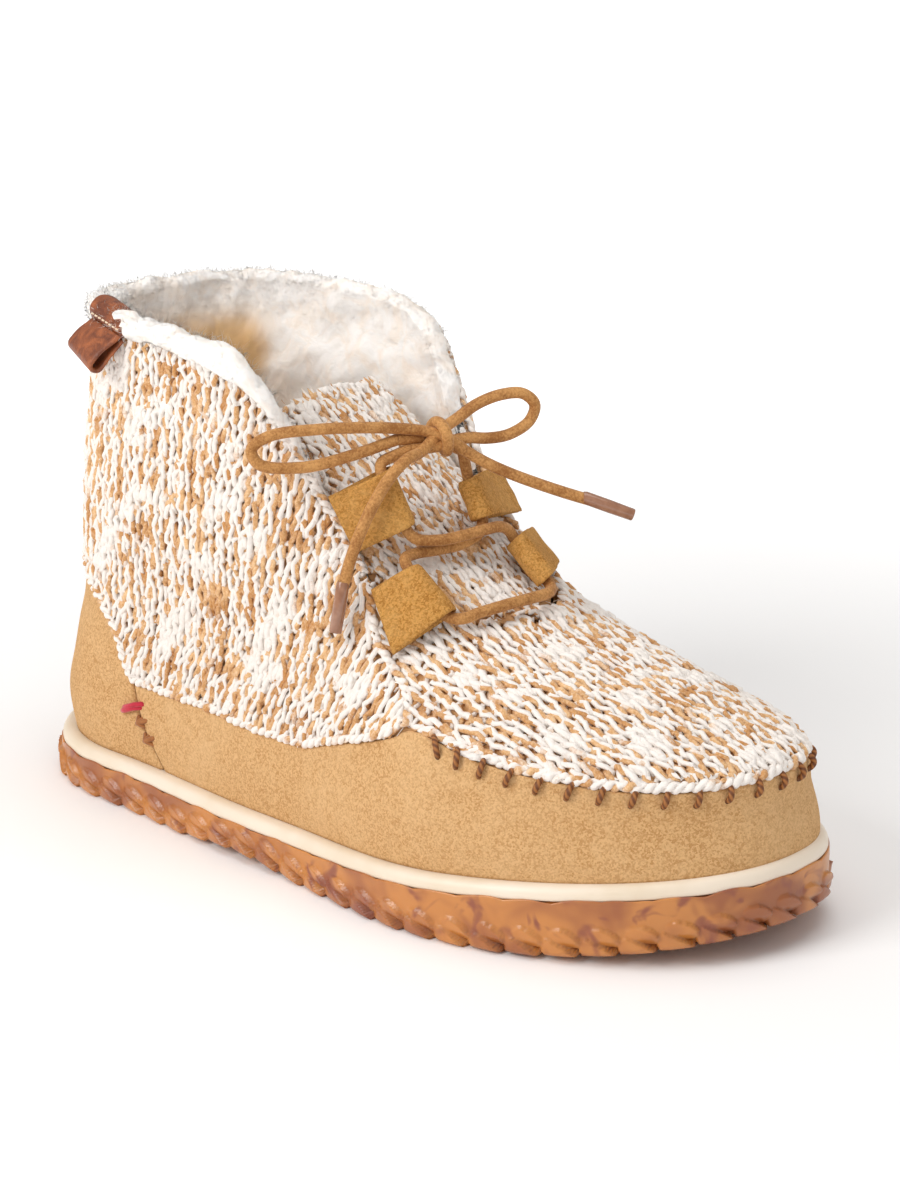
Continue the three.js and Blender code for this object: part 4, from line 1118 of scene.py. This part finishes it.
def tack_finish(name, roughness, sheen, dark, light):
    """Fuzzy yarn that clouds from dark to light."""
    finish = new_finish(name, {"Roughness": roughness, "Sheen Weight": sheen})
    cloud = noise(finish, object_places(finish), 700.0, 3.0)
    join_shader(finish, {
        "Base Color": blend_colours(finish, cloud, dark, light),
        "Normal": bump(finish, cloud, 0.0005, 0.6),
    })
    return finish


def put_stitches(name, parts, finish):
    """Several stitches joined into one piece."""
    points, faces, uv = join_parts(parts)
    join_boot(put_mesh(name, points, [faces], finish, uv))


red_yarn = tack_finish("red_yarn", 0.85, 0.3, colour(160, 14, 40), colour(212, 40, 66))
brown_yarn = tack_finish("brown_yarn", 0.8, 0.2, colour(120, 66, 26), colour(186, 122, 66))
RED_STRANDS = ((49.4, 29.8), (49.0, 28.6))
BROWN_KNOTS = ((55.4, 27.4), (57.0, 22.8))
KNOT_LEANS = (1, -0.6, 0.2)
for name, side in (("tacks_outer", 1), ("tacks_inner", -1)):
    put_stitches(name + "_red", [
        tack([[side * (a + 1.2), z, -0.4], [side * (a + 2.9), z + 1.2, 1.3],
              [side * (a + 4.8), z + 2.6, 1.2], [side * (a + 6.2), z + 3.2, -0.3]], 0.8)
        for a, z in RED_STRANDS
    ], red_yarn)
    put_stitches(name + "_brown", [
        tack([[side * (a - 1.5 * lean), z - 1.3, -0.5], [side * a, z, 1.1],
              [side * (a + 1.5 * lean), z + 1.3, -0.4]], 0.75)
        for a, z in BROWN_KNOTS for lean in KNOT_LEANS
    ], brown_yarn)


# Edges of the knit: a chain of white slubbed yarn is crocheted along the quarters' lower and front
# edges, along the collar and around the plug, where it bulges over the suede between the stitches.
CHAIN_PITCH = 5.2
CHAIN_SIDES = 7


def edge_chain(name, surface, angle, height, lift, thick, node):
    """Chain along a line of angles and heights on a surface: two yarns on sine waves of opposite sign
    that weave over and under each other, and swell twice in each wave and unevenly along the chain."""
    line = lifted(surface, angle, height, np.full(len(angle), lift))[0]
    path = smooth_path(line, len(line) * 9)
    share = np.linspace(0, 1, len(path))
    knots = np.linspace(0, 1, len(angle))
    path_angle = np.interp(share, knots, angle)
    path_height = np.interp(share, knots, height)
    normal = lifted(surface, path_angle, path_height, np.zeros(len(path)))[1]
    side = np.cross(normal, unit(np.gradient(path, axis=0)))
    gone = length_along(path)
    wave = 2 * np.pi * gone / CHAIN_PITCH
    sway = side * (0.75 * np.sin(wave))[:, None] + normal * (0.45 * np.cos(wave))[:, None]
    strands = np.stack([path + sway, path - sway])
    swell = thick * (1 + 0.22 * np.cos(2 * wave) + 0.26 * ripple(gone[:, None], 9.0, 8))
    swell = np.stack([swell, swell[::-1]])
    swell[:, [0, -1]] = 0.1
    points, faces, uv = tubes(strands, np.stack([normal, normal]), swell, CHAIN_SIDES)
    slub = ease((ripple(gone[:, None], 16.0, 9) + 0.6) / 0.7)
    other = ease((ripple(gone[:, None], 11.0, 10) + 0.9) / 0.6)
    marks = {"white": np.repeat(np.stack([slub, other]).ravel(), CHAIN_SIDES)}
    piece = put_mesh(name, points, [faces], yarn_finish, uv, marks)
    join_boot(piece, node)


foot_angle = np.linspace(0, PLUG_CORNER, 75)
front_angle = np.linspace(PLUG_CORNER, THROAT_CORNER, 26)[1:]
edge_angle = np.concatenate([foot_angle, front_angle])
edge_height = np.concatenate([suede_edge(foot_angle) + 0.4, front_edge(front_angle) + 0.6])
for name, side in (("knit_edge_outer", 1), ("knit_edge_inner", -1)):
    edge_chain(name, skin, side * edge_angle, edge_height, 0.35, 0.78, "upper")
collar_share = np.linspace(-1, 1, 150)
collar_rows = smooth_table(QUARTER_TOP, np.abs(collar_share) * 0.985)
collar_angle = np.sign(collar_share) * collar_rows[:, 0]
edge_chain("knit_edge_collar", skin, collar_angle, collar_rows[:, 1] - 0.5, -0.3, 0.8, "upper")
plug_rim = np.linspace(113, 247, 60)
edge_chain("knit_edge_plug", skin, plug_rim, suede_edge(plug_rim) + 1.0, -0.6, 0.95, "upper")


# Tongue: a flap of the same knit on a backing coloured tan-brown as painted shade, sewn to the end of the
# plug. It leans back from the throat, and a chain of yarn runs around its free edges.
TONGUE_TOP = 127.0
TONGUE_FOOT = 76.0
TONGUE_HALF = 25.0


def tongue_lean(z):
    """How far the tongue leans back at a height: a power of 1.8 from its foot to its top."""
    return 34 * np.clip((z - TONGUE_FOOT) / (TONGUE_TOP - TONGUE_FOOT), 0, 1) ** 1.8


def tongue_skin(angle, z):
    """The boot's skin, moved back by the tongue's lean."""
    point = skin(angle, z)
    point[..., 0] -= tongue_lean(point[..., 2])
    return point


def tongue_grid(share, across):
    """Angle and height on the tongue: from the end of the plug at share 0 to its top at share 1, and
    from its outer to its inner side as across goes from -1 to 1."""
    reach = 1 - np.abs(across)
    rows = smooth_table(PLUG_END, reach)
    foot = rows[..., 0] + (1 - reach) * 2.2
    low = rows[..., 1] + 0.8 + 0.8 * np.abs(across)
    half = (180 - foot) * (1 - share) + TONGUE_HALF * np.abs(across) * share
    return 180 + np.sign(across) * half, low + (TONGUE_TOP - 3 * across ** 2 - low) * share


TONGUE_COLUMNS = 60
tongue_share = np.linspace(0, 1, 40)[:, None]
tongue_across = np.linspace(-1, 1, TONGUE_COLUMNS)[None, :]
tongue_angle, tongue_z = tongue_grid(tongue_share, tongue_across)
tongue_front = lifted(tongue_skin, tongue_angle, tongue_z, np.full(tongue_angle.shape, -2.9))[0]
tongue_back, tongue_normal = lifted(
    tongue_skin, tongue_angle, tongue_z, np.full(tongue_angle.shape, -4.4),
)
tongue_back -= tongue_normal * (0.5 * ripple(tongue_back, 8.0, 15))[..., None]
tongue_points = np.concatenate([tongue_front, tongue_back[::-1]])
tongue_faces = grid_faces(len(tongue_points), TONGUE_COLUMNS, False, True)
# The tongue's backing takes the same painted gap shade.
tongue_backing = put_mesh(
    "tongue_backing", tongue_points.reshape(-1, 3), [tongue_faces], backing_shade_finish,
)
join_boot(tongue_backing, "tongue")
tongue_line_z = np.linspace(72, 130, 117)
tongue_gone = length_along(tongue_skin(np.full(len(tongue_line_z), 180.0), tongue_line_z))


def angle_at(y, z):
    """Angle of the skin before the ankle at a side position and a height, halved in on between 95 and
    180 on that side."""
    near = np.full(np.shape(y), 95.0)
    far = np.full(np.shape(y), 180.0)
    side = np.where(np.asarray(y) < 0, 1.0, -1.0)
    for _ in range(40):
        middle = (near + far) / 2
        short = skin(side * middle, z)[..., 1] * side < y * side
        near = np.where(short, middle, near)
        far = np.where(short, far, middle)
    return side * near


def tongue_place(across, along):
    """Middle of the tongue's cloth at a side position and a length up its middle line."""
    z = np.interp(along, tongue_gone, tongue_line_z)
    return lifted(tongue_skin, angle_at(across, z), z, np.full(z.shape, -2.2))


tongue_rows = np.arange(0, int(tongue_gone[-1] / COURSE))
yarn = knit_yarn(tongue_place, tongue_rows, -7, 7, PLUG_WALE, COURSE, 47)
flap_x, flap_z = yarn[0][..., 0], yarn[0][..., 2]
flap_angle = slice_angle(flap_x + tongue_lean(flap_z) + 2.0, flap_z)
FLAP_FOOT_HALF = 38.3
flap_share = np.clip((flap_z - 85.6) / 38.4, 0, 1)
flap_half = FLAP_FOOT_HALF + (TONGUE_HALF - FLAP_FOOT_HALF) * flap_share
kept = (flap_z > plug_end(flap_angle) - 1.0) & (flap_z < TONGUE_TOP + 0.5) & (180 - flap_angle < flap_half)
cut_knit("knit_tongue", yarn, kept, "tongue")
rim_share = np.concatenate([np.linspace(0.1, 1, 16), np.ones(20), np.linspace(1, 0.1, 16)])
rim_across = np.concatenate([-np.ones(16), np.linspace(-0.94, 0.94, 20), np.ones(16)])
edge_angle, edge_height = tongue_grid(rim_share, rim_across)
edge_chain("knit_edge_tongue", tongue_skin, edge_angle, edge_height, -2.6, 1.0, "tongue")


# Fleece: a sleeve of dense, soft off-white plush inside the ankle that rolls over the collar, furthest on
# the outer side. Its pile swells softly, warm tan shade is painted into it at the heel and deep inside, and
# loose hairs blur its rim.
# Columns of LINING_TOP: share of the way from the heel, angle, height and share of the roll.
LINING_TOP = [
    [0, 0, 143, 1], [0.35, 48, 143.5, 1], [0.6, 88, 143, 1], [0.7, 106, 141, 0.95], [0.76, 118, 136, 0.9],
    [0.82, 127, 127, 0.75], [0.9, 137.4, 110, 0.45], [0.96, 141.4, 97, 0.4], [1, 141.2, 88, 0.4],
]
FLEECE_STEPS = 420
FLEECE_FOOT = 84.0
UP_ROWS = 16
ROLL_ROWS = 22
DOWN_ROWS = 56
fleece_across = np.linspace(-1, 1, FLEECE_STEPS)
fleece_side = np.sign(fleece_across)
fleece_reach = np.abs(fleece_across)
rim_angle, rim_z, rim_roll = smooth_table(LINING_TOP, fleece_reach).T
fleece_foot = feather(FLEECE_FOOT * fleece_across) + 6
# Its section goes up the outside of the sleeve, over the roll and down the inside.
wall_up = np.linspace(0, 1, UP_ROWS)[:, None]
wall_down = np.linspace(1, 0, DOWN_ROWS + 1)[1:, None]
roll_turn = np.linspace(-0.75, np.pi, ROLL_ROWS)[:, None]
outer_depth = -4.3 - 0.2 * ease((fleece_reach - 0.7) / 0.3)
inner_depth = -10.2 + 3.6 * ease((fleece_reach - 0.68) / 0.3)
near_side = ease(fleece_across * 4 + 0.6)
roll_outer = outer_depth + (0.5 + 2.0 * near_side - outer_depth) * rim_roll
roll_inner = inner_depth + 3.6 * rim_roll
roll_slope = ease((fleece_reach - 0.6) / 0.14) * ease((0.94 - fleece_reach) / 0.1)
roll_height = 0.7 + rim_roll * (1.7 + near_side * (1.0 + 1.4 * roll_slope))
lift_up = np.broadcast_to(outer_depth, (UP_ROWS, FLEECE_STEPS))
lift_roll = (roll_outer + roll_inner) / 2 + (roll_outer - roll_inner) / 2 * np.cos(roll_turn)
lift_down = roll_inner + (inner_depth - roll_inner) * ease((1 - wall_down) * 5)
fleece_lift = np.concatenate([lift_up, lift_roll, lift_down])
share_up = np.concatenate([wall_up, np.ones((ROLL_ROWS, 1)), wall_down])
fleece_angle = fleece_side * (FLEECE_FOOT * fleece_reach * (1 - share_up) + rim_angle * share_up)
fleece_height = fleece_foot + (rim_z - fleece_foot) * share_up
fleece_height[UP_ROWS:UP_ROWS + ROLL_ROWS] += 0.2 + roll_height * np.sin(roll_turn)
fleece_lift[:, [0, -1]] = -4.0
fleece_base = lifted(skin, fleece_angle, fleece_height, fleece_lift)[0]


def grid_normals(points):
    """Normals of a grid of points: cross products of its differences along and over the rows."""
    return unit(np.cross(np.gradient(points, axis=1), np.gradient(points, axis=0)))


fleece_swell = 0.75 * ripple(fleece_base, 15.0, 21) + 0.4 * ripple(fleece_base, 7.0, 22)
fleece_swell = fleece_swell + 0.18 * ripple(fleece_base, 3.2, 23)
roll_show = np.linspace(0.6, 1, ROLL_ROWS)[:, None]
fleece_show = np.concatenate([np.zeros((UP_ROWS, 1)), roll_show, np.ones((DOWN_ROWS, 1))])
fleece_points = fleece_base + grid_normals(fleece_base) * (fleece_swell * fleece_show)[..., None]
fleece_z = fleece_points[..., 2]
fleece_turn = np.abs(fleece_angle)
# Painted shade: the fleece turns warm tan where the inside of the heel and the deep wall lie in shadow.
heel_painted_shade = ease((64 - fleece_turn) / 24) * np.exp(-((fleece_z - 122) / 14) ** 2)
deep_painted_shade = 0.7 * np.clip((rim_z - fleece_z) / 60, 0, 1) * ease((100 - fleece_turn) / 50)
fleece_painted_shade = np.maximum(heel_painted_shade, deep_painted_shade) * (fleece_z < rim_z - 3)
fleece_finish = new_finish("plush_fleece", {
    "Roughness": 1.0, "Sheen Weight": 0.12, "Sheen Roughness": 0.7, "Sheen Tint": colour(255, 244, 234),
    "Subsurface Weight": 0.12, "Subsurface Radius": (0.004, 0.0035, 0.003), "Subsurface Scale": 1.0,
    "Specular IOR Level": 0.1,
})
fleece_places = object_places(fleece_finish)
fleece_nap = noise(fleece_finish, fleece_places, 900.0, 4.0, 0.7, 0.6)
fleece_tuft = noise(fleece_finish, fleece_places, 130.0, 3.0, 0.6, 0.8)
# The depth attribute holds the painted shade, which mixes the fleece towards tan.
fleece_shade_mark = add_node(fleece_finish, "Attribute", {}, attribute_name="depth").outputs["Fac"]
fleece_pile = add_node(fleece_finish, "Attribute", {}, attribute_name="pile").outputs["Vector"]
fleece_pale = spread(fleece_finish, fleece_tuft, 0.3, 0.62)
fleece_white = blend_colours(fleece_finish, fleece_pale, colour(254, 242, 230), colour(255, 251, 246))
fleece_shade_tan = blend_colours(fleece_finish, fleece_tuft, colour(206, 156, 96), colour(242, 208, 160))
fleece_shade_mixed = weigh(fleece_finish, fleece_shade_mark, 1.0, fleece_tuft, 0.5)
fleece_shade_share = spread(fleece_finish, fleece_shade_mixed, 0.4, 1.15)
fleece_soft = bump(fleece_finish, fleece_nap, 0.0006, 0.3, fleece_pile)
join_shader(fleece_finish, {
    "Base Color": blend_colours(fleece_finish, fleece_shade_share, fleece_white, fleece_shade_tan),
    "Normal": bump(fleece_finish, fleece_tuft, 0.0025, 0.2, fleece_soft),
})


def put_fleece(name, points, faces, depth, pile):
    """Piece of fleece with its share of painted tan shade, called depth, and the direction that its pile
    faces.
    """
    piece = put_mesh(name, points.reshape(-1, 3), [faces], fleece_finish, None, {"depth": depth})
    facing = piece.data.attributes.new("pile", "FLOAT_VECTOR", "POINT")
    facing.data.foreach_set("vector", pile.astype(np.float32).ravel())
    join_boot(piece, "fleece_lining")


fleece_face = grid_normals(fleece_points)
sleeve_faces = grid_faces(len(fleece_points), FLEECE_STEPS, False, True)
put_fleece("fleece_sleeve", fleece_points, sleeve_faces, fleece_painted_shade, fleece_face)
HAIR_STATIONS = 3
HAIR_POINTS = 2 * HAIR_STATIONS


def loose_hairs(name, count, first_row, last_row, length, seed):
    """Hairs of the pile: flat ribbons of three stations that leave the fleece near its normal and bend
    aside in an arc, at random places of the fleece's grid, and take the fleece's own shading."""
    chance = np.random.default_rng(seed)
    i = chance.integers(first_row, last_row, count)
    j = chance.integers(4, FLEECE_STEPS - 4, count)
    root = fleece_points[i, j] + chance.normal(0, 0.5, (count, 3))
    out = 0.6 * fleece_face[i, j] + chance.normal(0, 0.5, (count, 3))
    bend = unit(np.cross(out, chance.normal(size=(count, 3))))
    width = unit(np.cross(out, bend))
    t = np.linspace(0, 1, HAIR_STATIONS)[None, :, None]
    size = (length * chance.uniform(0.4, 1.2, count))[:, None, None]
    curl = chance.uniform(0.6, 2.2, count)[:, None, None]
    rise = out[:, None] * np.sin(t * curl) / curl
    line = root[:, None] + size * (rise + bend[:, None] * (1 - np.cos(t * curl)) / curl)
    broad = 0.055 * (1 - 0.8 * t)
    points = np.stack([line - width[:, None] * broad, line + width[:, None] * broad], axis=2)
    start = np.arange(count)[:, None] * HAIR_POINTS + np.arange(HAIR_STATIONS - 1) * 2
    faces = np.stack([start, start + 1, start + 3, start + 2], axis=-1).reshape(-1, 4)
    # Each hair carries the fleece's painted shade where it grows.
    depth = np.repeat(fleece_painted_shade[i, j], HAIR_POINTS)
    put_fleece(name, points, faces, depth, np.repeat(fleece_face[i, j], HAIR_POINTS, axis=0))


loose_hairs("fleece_rim_hairs", 12000, 15, 42, 2.4, 61)


# Keepers: four straps of golden suede folded forward around the lace and sewn down at the rear under
# the edge of the throat.
keeper_suede = suede_finish("golden_suede", colour(158, 104, 42), colour(204, 148, 76), colour(218, 170, 102))
STRAP_COLUMNS = 22


def throat_point(place, distance):
    """Points over the throat at rows of side position and height, and the skin's normals there."""
    y, z = np.array(place, float).T
    return lifted(skin, angle_at(y, z), z, np.full(len(y), distance))


def closed_band(rows):
    """Faces of a strap: its section is closed over, and both side edges are capped."""
    half = np.arange(rows // 2)
    last = rows - 1
    caps = np.stack([half[:-1], half[1:], last - half[1:], last - half[:-1]], axis=-1) * STRAP_COLUMNS
    faces = grid_faces(rows, STRAP_COLUMNS, False, True)
    return np.concatenate([faces, caps, caps[:, ::-1] + STRAP_COLUMNS - 1])


def folded_strap(rear, front, normal, half, fold, thick, seed):
    """Strap folded back on itself. Its section runs from the rear over the top layer, around the fold
    in half a circle and back under, as a band of even thickness; it is carried from one side edge to
    the other, and bows and wrinkles a little."""
    across = np.linspace(0, 1, STRAP_COLUMNS)[:, None]
    back = rear[0] + (rear[1] - rear[0]) * across
    tip = front[0] + (front[1] - front[0]) * across
    along = tip - back
    reach = np.linalg.norm(along, axis=1, keepdims=True)
    along /= reach
    out = unit(normal - along * (along @ normal)[:, None])
    straight = np.linspace(0, 1, 16)
    turn = np.linspace(np.pi / 2, -np.pi / 2, 15)[1:-1]
    a_line = np.concatenate([straight, np.ones(13), straight[::-1]])
    round_a = np.concatenate([np.zeros(16), np.cos(turn), np.zeros(16)])
    rise = half + (fold - half) * ease(straight * 1.15 - 0.15)
    b_line = np.concatenate([rise, fold * np.sin(turn), -rise[::-1]])
    bump_b = np.concatenate([np.ones(16), np.sin(turn), -np.ones(16)])
    bow = 0.5 * np.sin(np.pi * straight)
    lift = np.concatenate([bow, np.zeros(13), np.zeros(16)])
    layers = []
    edge = np.minimum(across, 1 - across)
    slim = np.clip(0.45 + edge * 22, 0, 1)
    for offset in (thick / 2, -thick / 2):
        a = a_line * reach + round_a * (fold + offset * slim)
        b = b_line + lift + offset * slim * bump_b
        layers.append(back[:, None] + along[:, None] * a[..., None] + out[:, None] * b[..., None])
    band = np.concatenate([layers[0], layers[1][:, ::-1]], axis=1)
    band = band + out[:, None] * (0.16 * ripple(band, 9.0, seed))[..., None]
    return np.swapaxes(band, 0, 1)


# Corners of the rear edge and of the fold, each a side position and a height.
KEEPERS = {
    "keeper_outer_top": ([[-30.4, 106.1], [-29.6, 91.5]], [[-19.5, 112.4], [-18.5, 96.5]]),
    "keeper_outer_low": ([[-30.1, 82.4], [-34.5, 67.1]], [[-22.1, 86.3], [-21.5, 75.3]]),
    "keeper_inner_top": ([[31, 101.5], [31.5, 89]], [[5, 105], [3.5, 94.5]]),
    "keeper_inner_low": ([[31, 85], [31, 76.5]], [[10.5, 87.5], [10, 78]]),
}
for seed, (node, (rear, fold)) in enumerate(KEEPERS.items()):
    fold_points, fold_normals = throat_point(fold, 4.6)
    strap = folded_strap(throat_point(rear, 2.8)[0], fold_points, fold_normals[0], 0.5, 2.8, 1.0, 70 + seed)
    faces = closed_band(len(strap))
    piece = put_mesh(node.replace("keeper", "strap"), strap.reshape(-1, 3), [faces], keeper_suede)
    join_boot(piece, node)


# Pull tab: a loop of smooth brown leather caught in the seam at the back of the collar, edge-stitched
# beside the seam and left bare.
tab_finish = new_finish("brown_leather", {"Roughness": 0.5, "Coat Weight": 0.08, "Coat Roughness": 0.4})
tab_places = object_places(tab_finish)
tab_grain = add_node(tab_finish, "TexVoronoi", {"Vector": tab_places, "Scale": 1500.0}).outputs["Distance"]
tab_cloud = noise(tab_finish, tab_places, 210.0, 4.0, 0.6, 0.8)
tab_share = spread(tab_finish, tab_cloud, 0.32, 0.7)
join_shader(tab_finish, {
    "Base Color": blend_colours(tab_finish, tab_share, colour(104, 50, 24), colour(162, 90, 48)),
    "Roughness": spread(tab_finish, tab_cloud, 0.3, 0.7, 0.42, 0.6),
    "Normal": bump(tab_finish, tab_grain, 0.0003, 0.5),
})
tab_rear = np.array([[-86.9, -37.9, 143.4], [-70.2, -42.9, 141.4]])
tab_front = np.array([[-90, -42.8, 137.6], [-74.1, -49, 134]])
tab_normal = np.array([-0.11, -0.675, 0.73])
tab_strap = folded_strap(tab_rear, tab_front, unit(tab_normal), 0.85, 1.7, 1.3, 90)
tab_over = np.array([
    [[-86.9, -37.9, 143.6], [-70.2, -42.9, 141.6]], [[-88.2, -37.6, 146.8], [-70.4, -42.4, 143.8]],
    [[-87.6, -34.6, 149.2], [-69.6, -38.6, 145.2]], [[-85.4, -31.2, 148.0], [-68.6, -35.0, 144.6]],
    [[-84.4, -30.0, 144.0], [-68.2, -34.0, 141.0]],
])
over_left = smooth_path(tab_over[:, 0], 24)[:, None]
over_right = smooth_path(tab_over[:, 1], 24)[:, None]
over_across = np.linspace(0, 1, STRAP_COLUMNS)[None, :, None]
over_middle = over_left + (over_right - over_left) * over_across
over_normal = grid_normals(over_middle)
over_band = np.concatenate([over_middle + 0.65 * over_normal, (over_middle - 0.65 * over_normal)[::-1]])
tab_points = np.concatenate([tab_strap.reshape(-1, 3), over_band.reshape(-1, 3)])
tab_faces = np.concatenate([
    closed_band(len(tab_strap)), closed_band(len(over_band)) + len(tab_strap) * STRAP_COLUMNS,
])
tab = put_mesh("leather_pull_tab", tab_points, [tab_faces], tab_finish)
join_boot(tab, "pull_tab")
tab_thread = new_finish("pale_thread", {"Roughness": 0.7, "Base Color": colour(232, 206, 176)})
STITCH_ROW = 3
stitch_start = over_left[STITCH_ROW, 0]
stitch_line = over_right[STITCH_ROW, 0] - stitch_start
stitch_lift = over_normal[STITCH_ROW, STRAP_COLUMNS // 2] * np.array([[0.55], [0.95], [0.55]])
stitch_half = np.array([[-0.032], [0.0], [0.032]])
put_stitches("tab_stitches", [
    one_tube(smooth_path(stitch_start + stitch_line * (share + stitch_half) + stitch_lift, 7), 0.26, 7)
    for share in np.linspace(0.1, 0.9, 8)
], tab_thread)

visual_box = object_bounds()
boxes = {"cad": cad_box, "visual": visual_box}
boxes = {name: [[float(v) for v in corner] for corner in box] for name, box in boxes.items()}
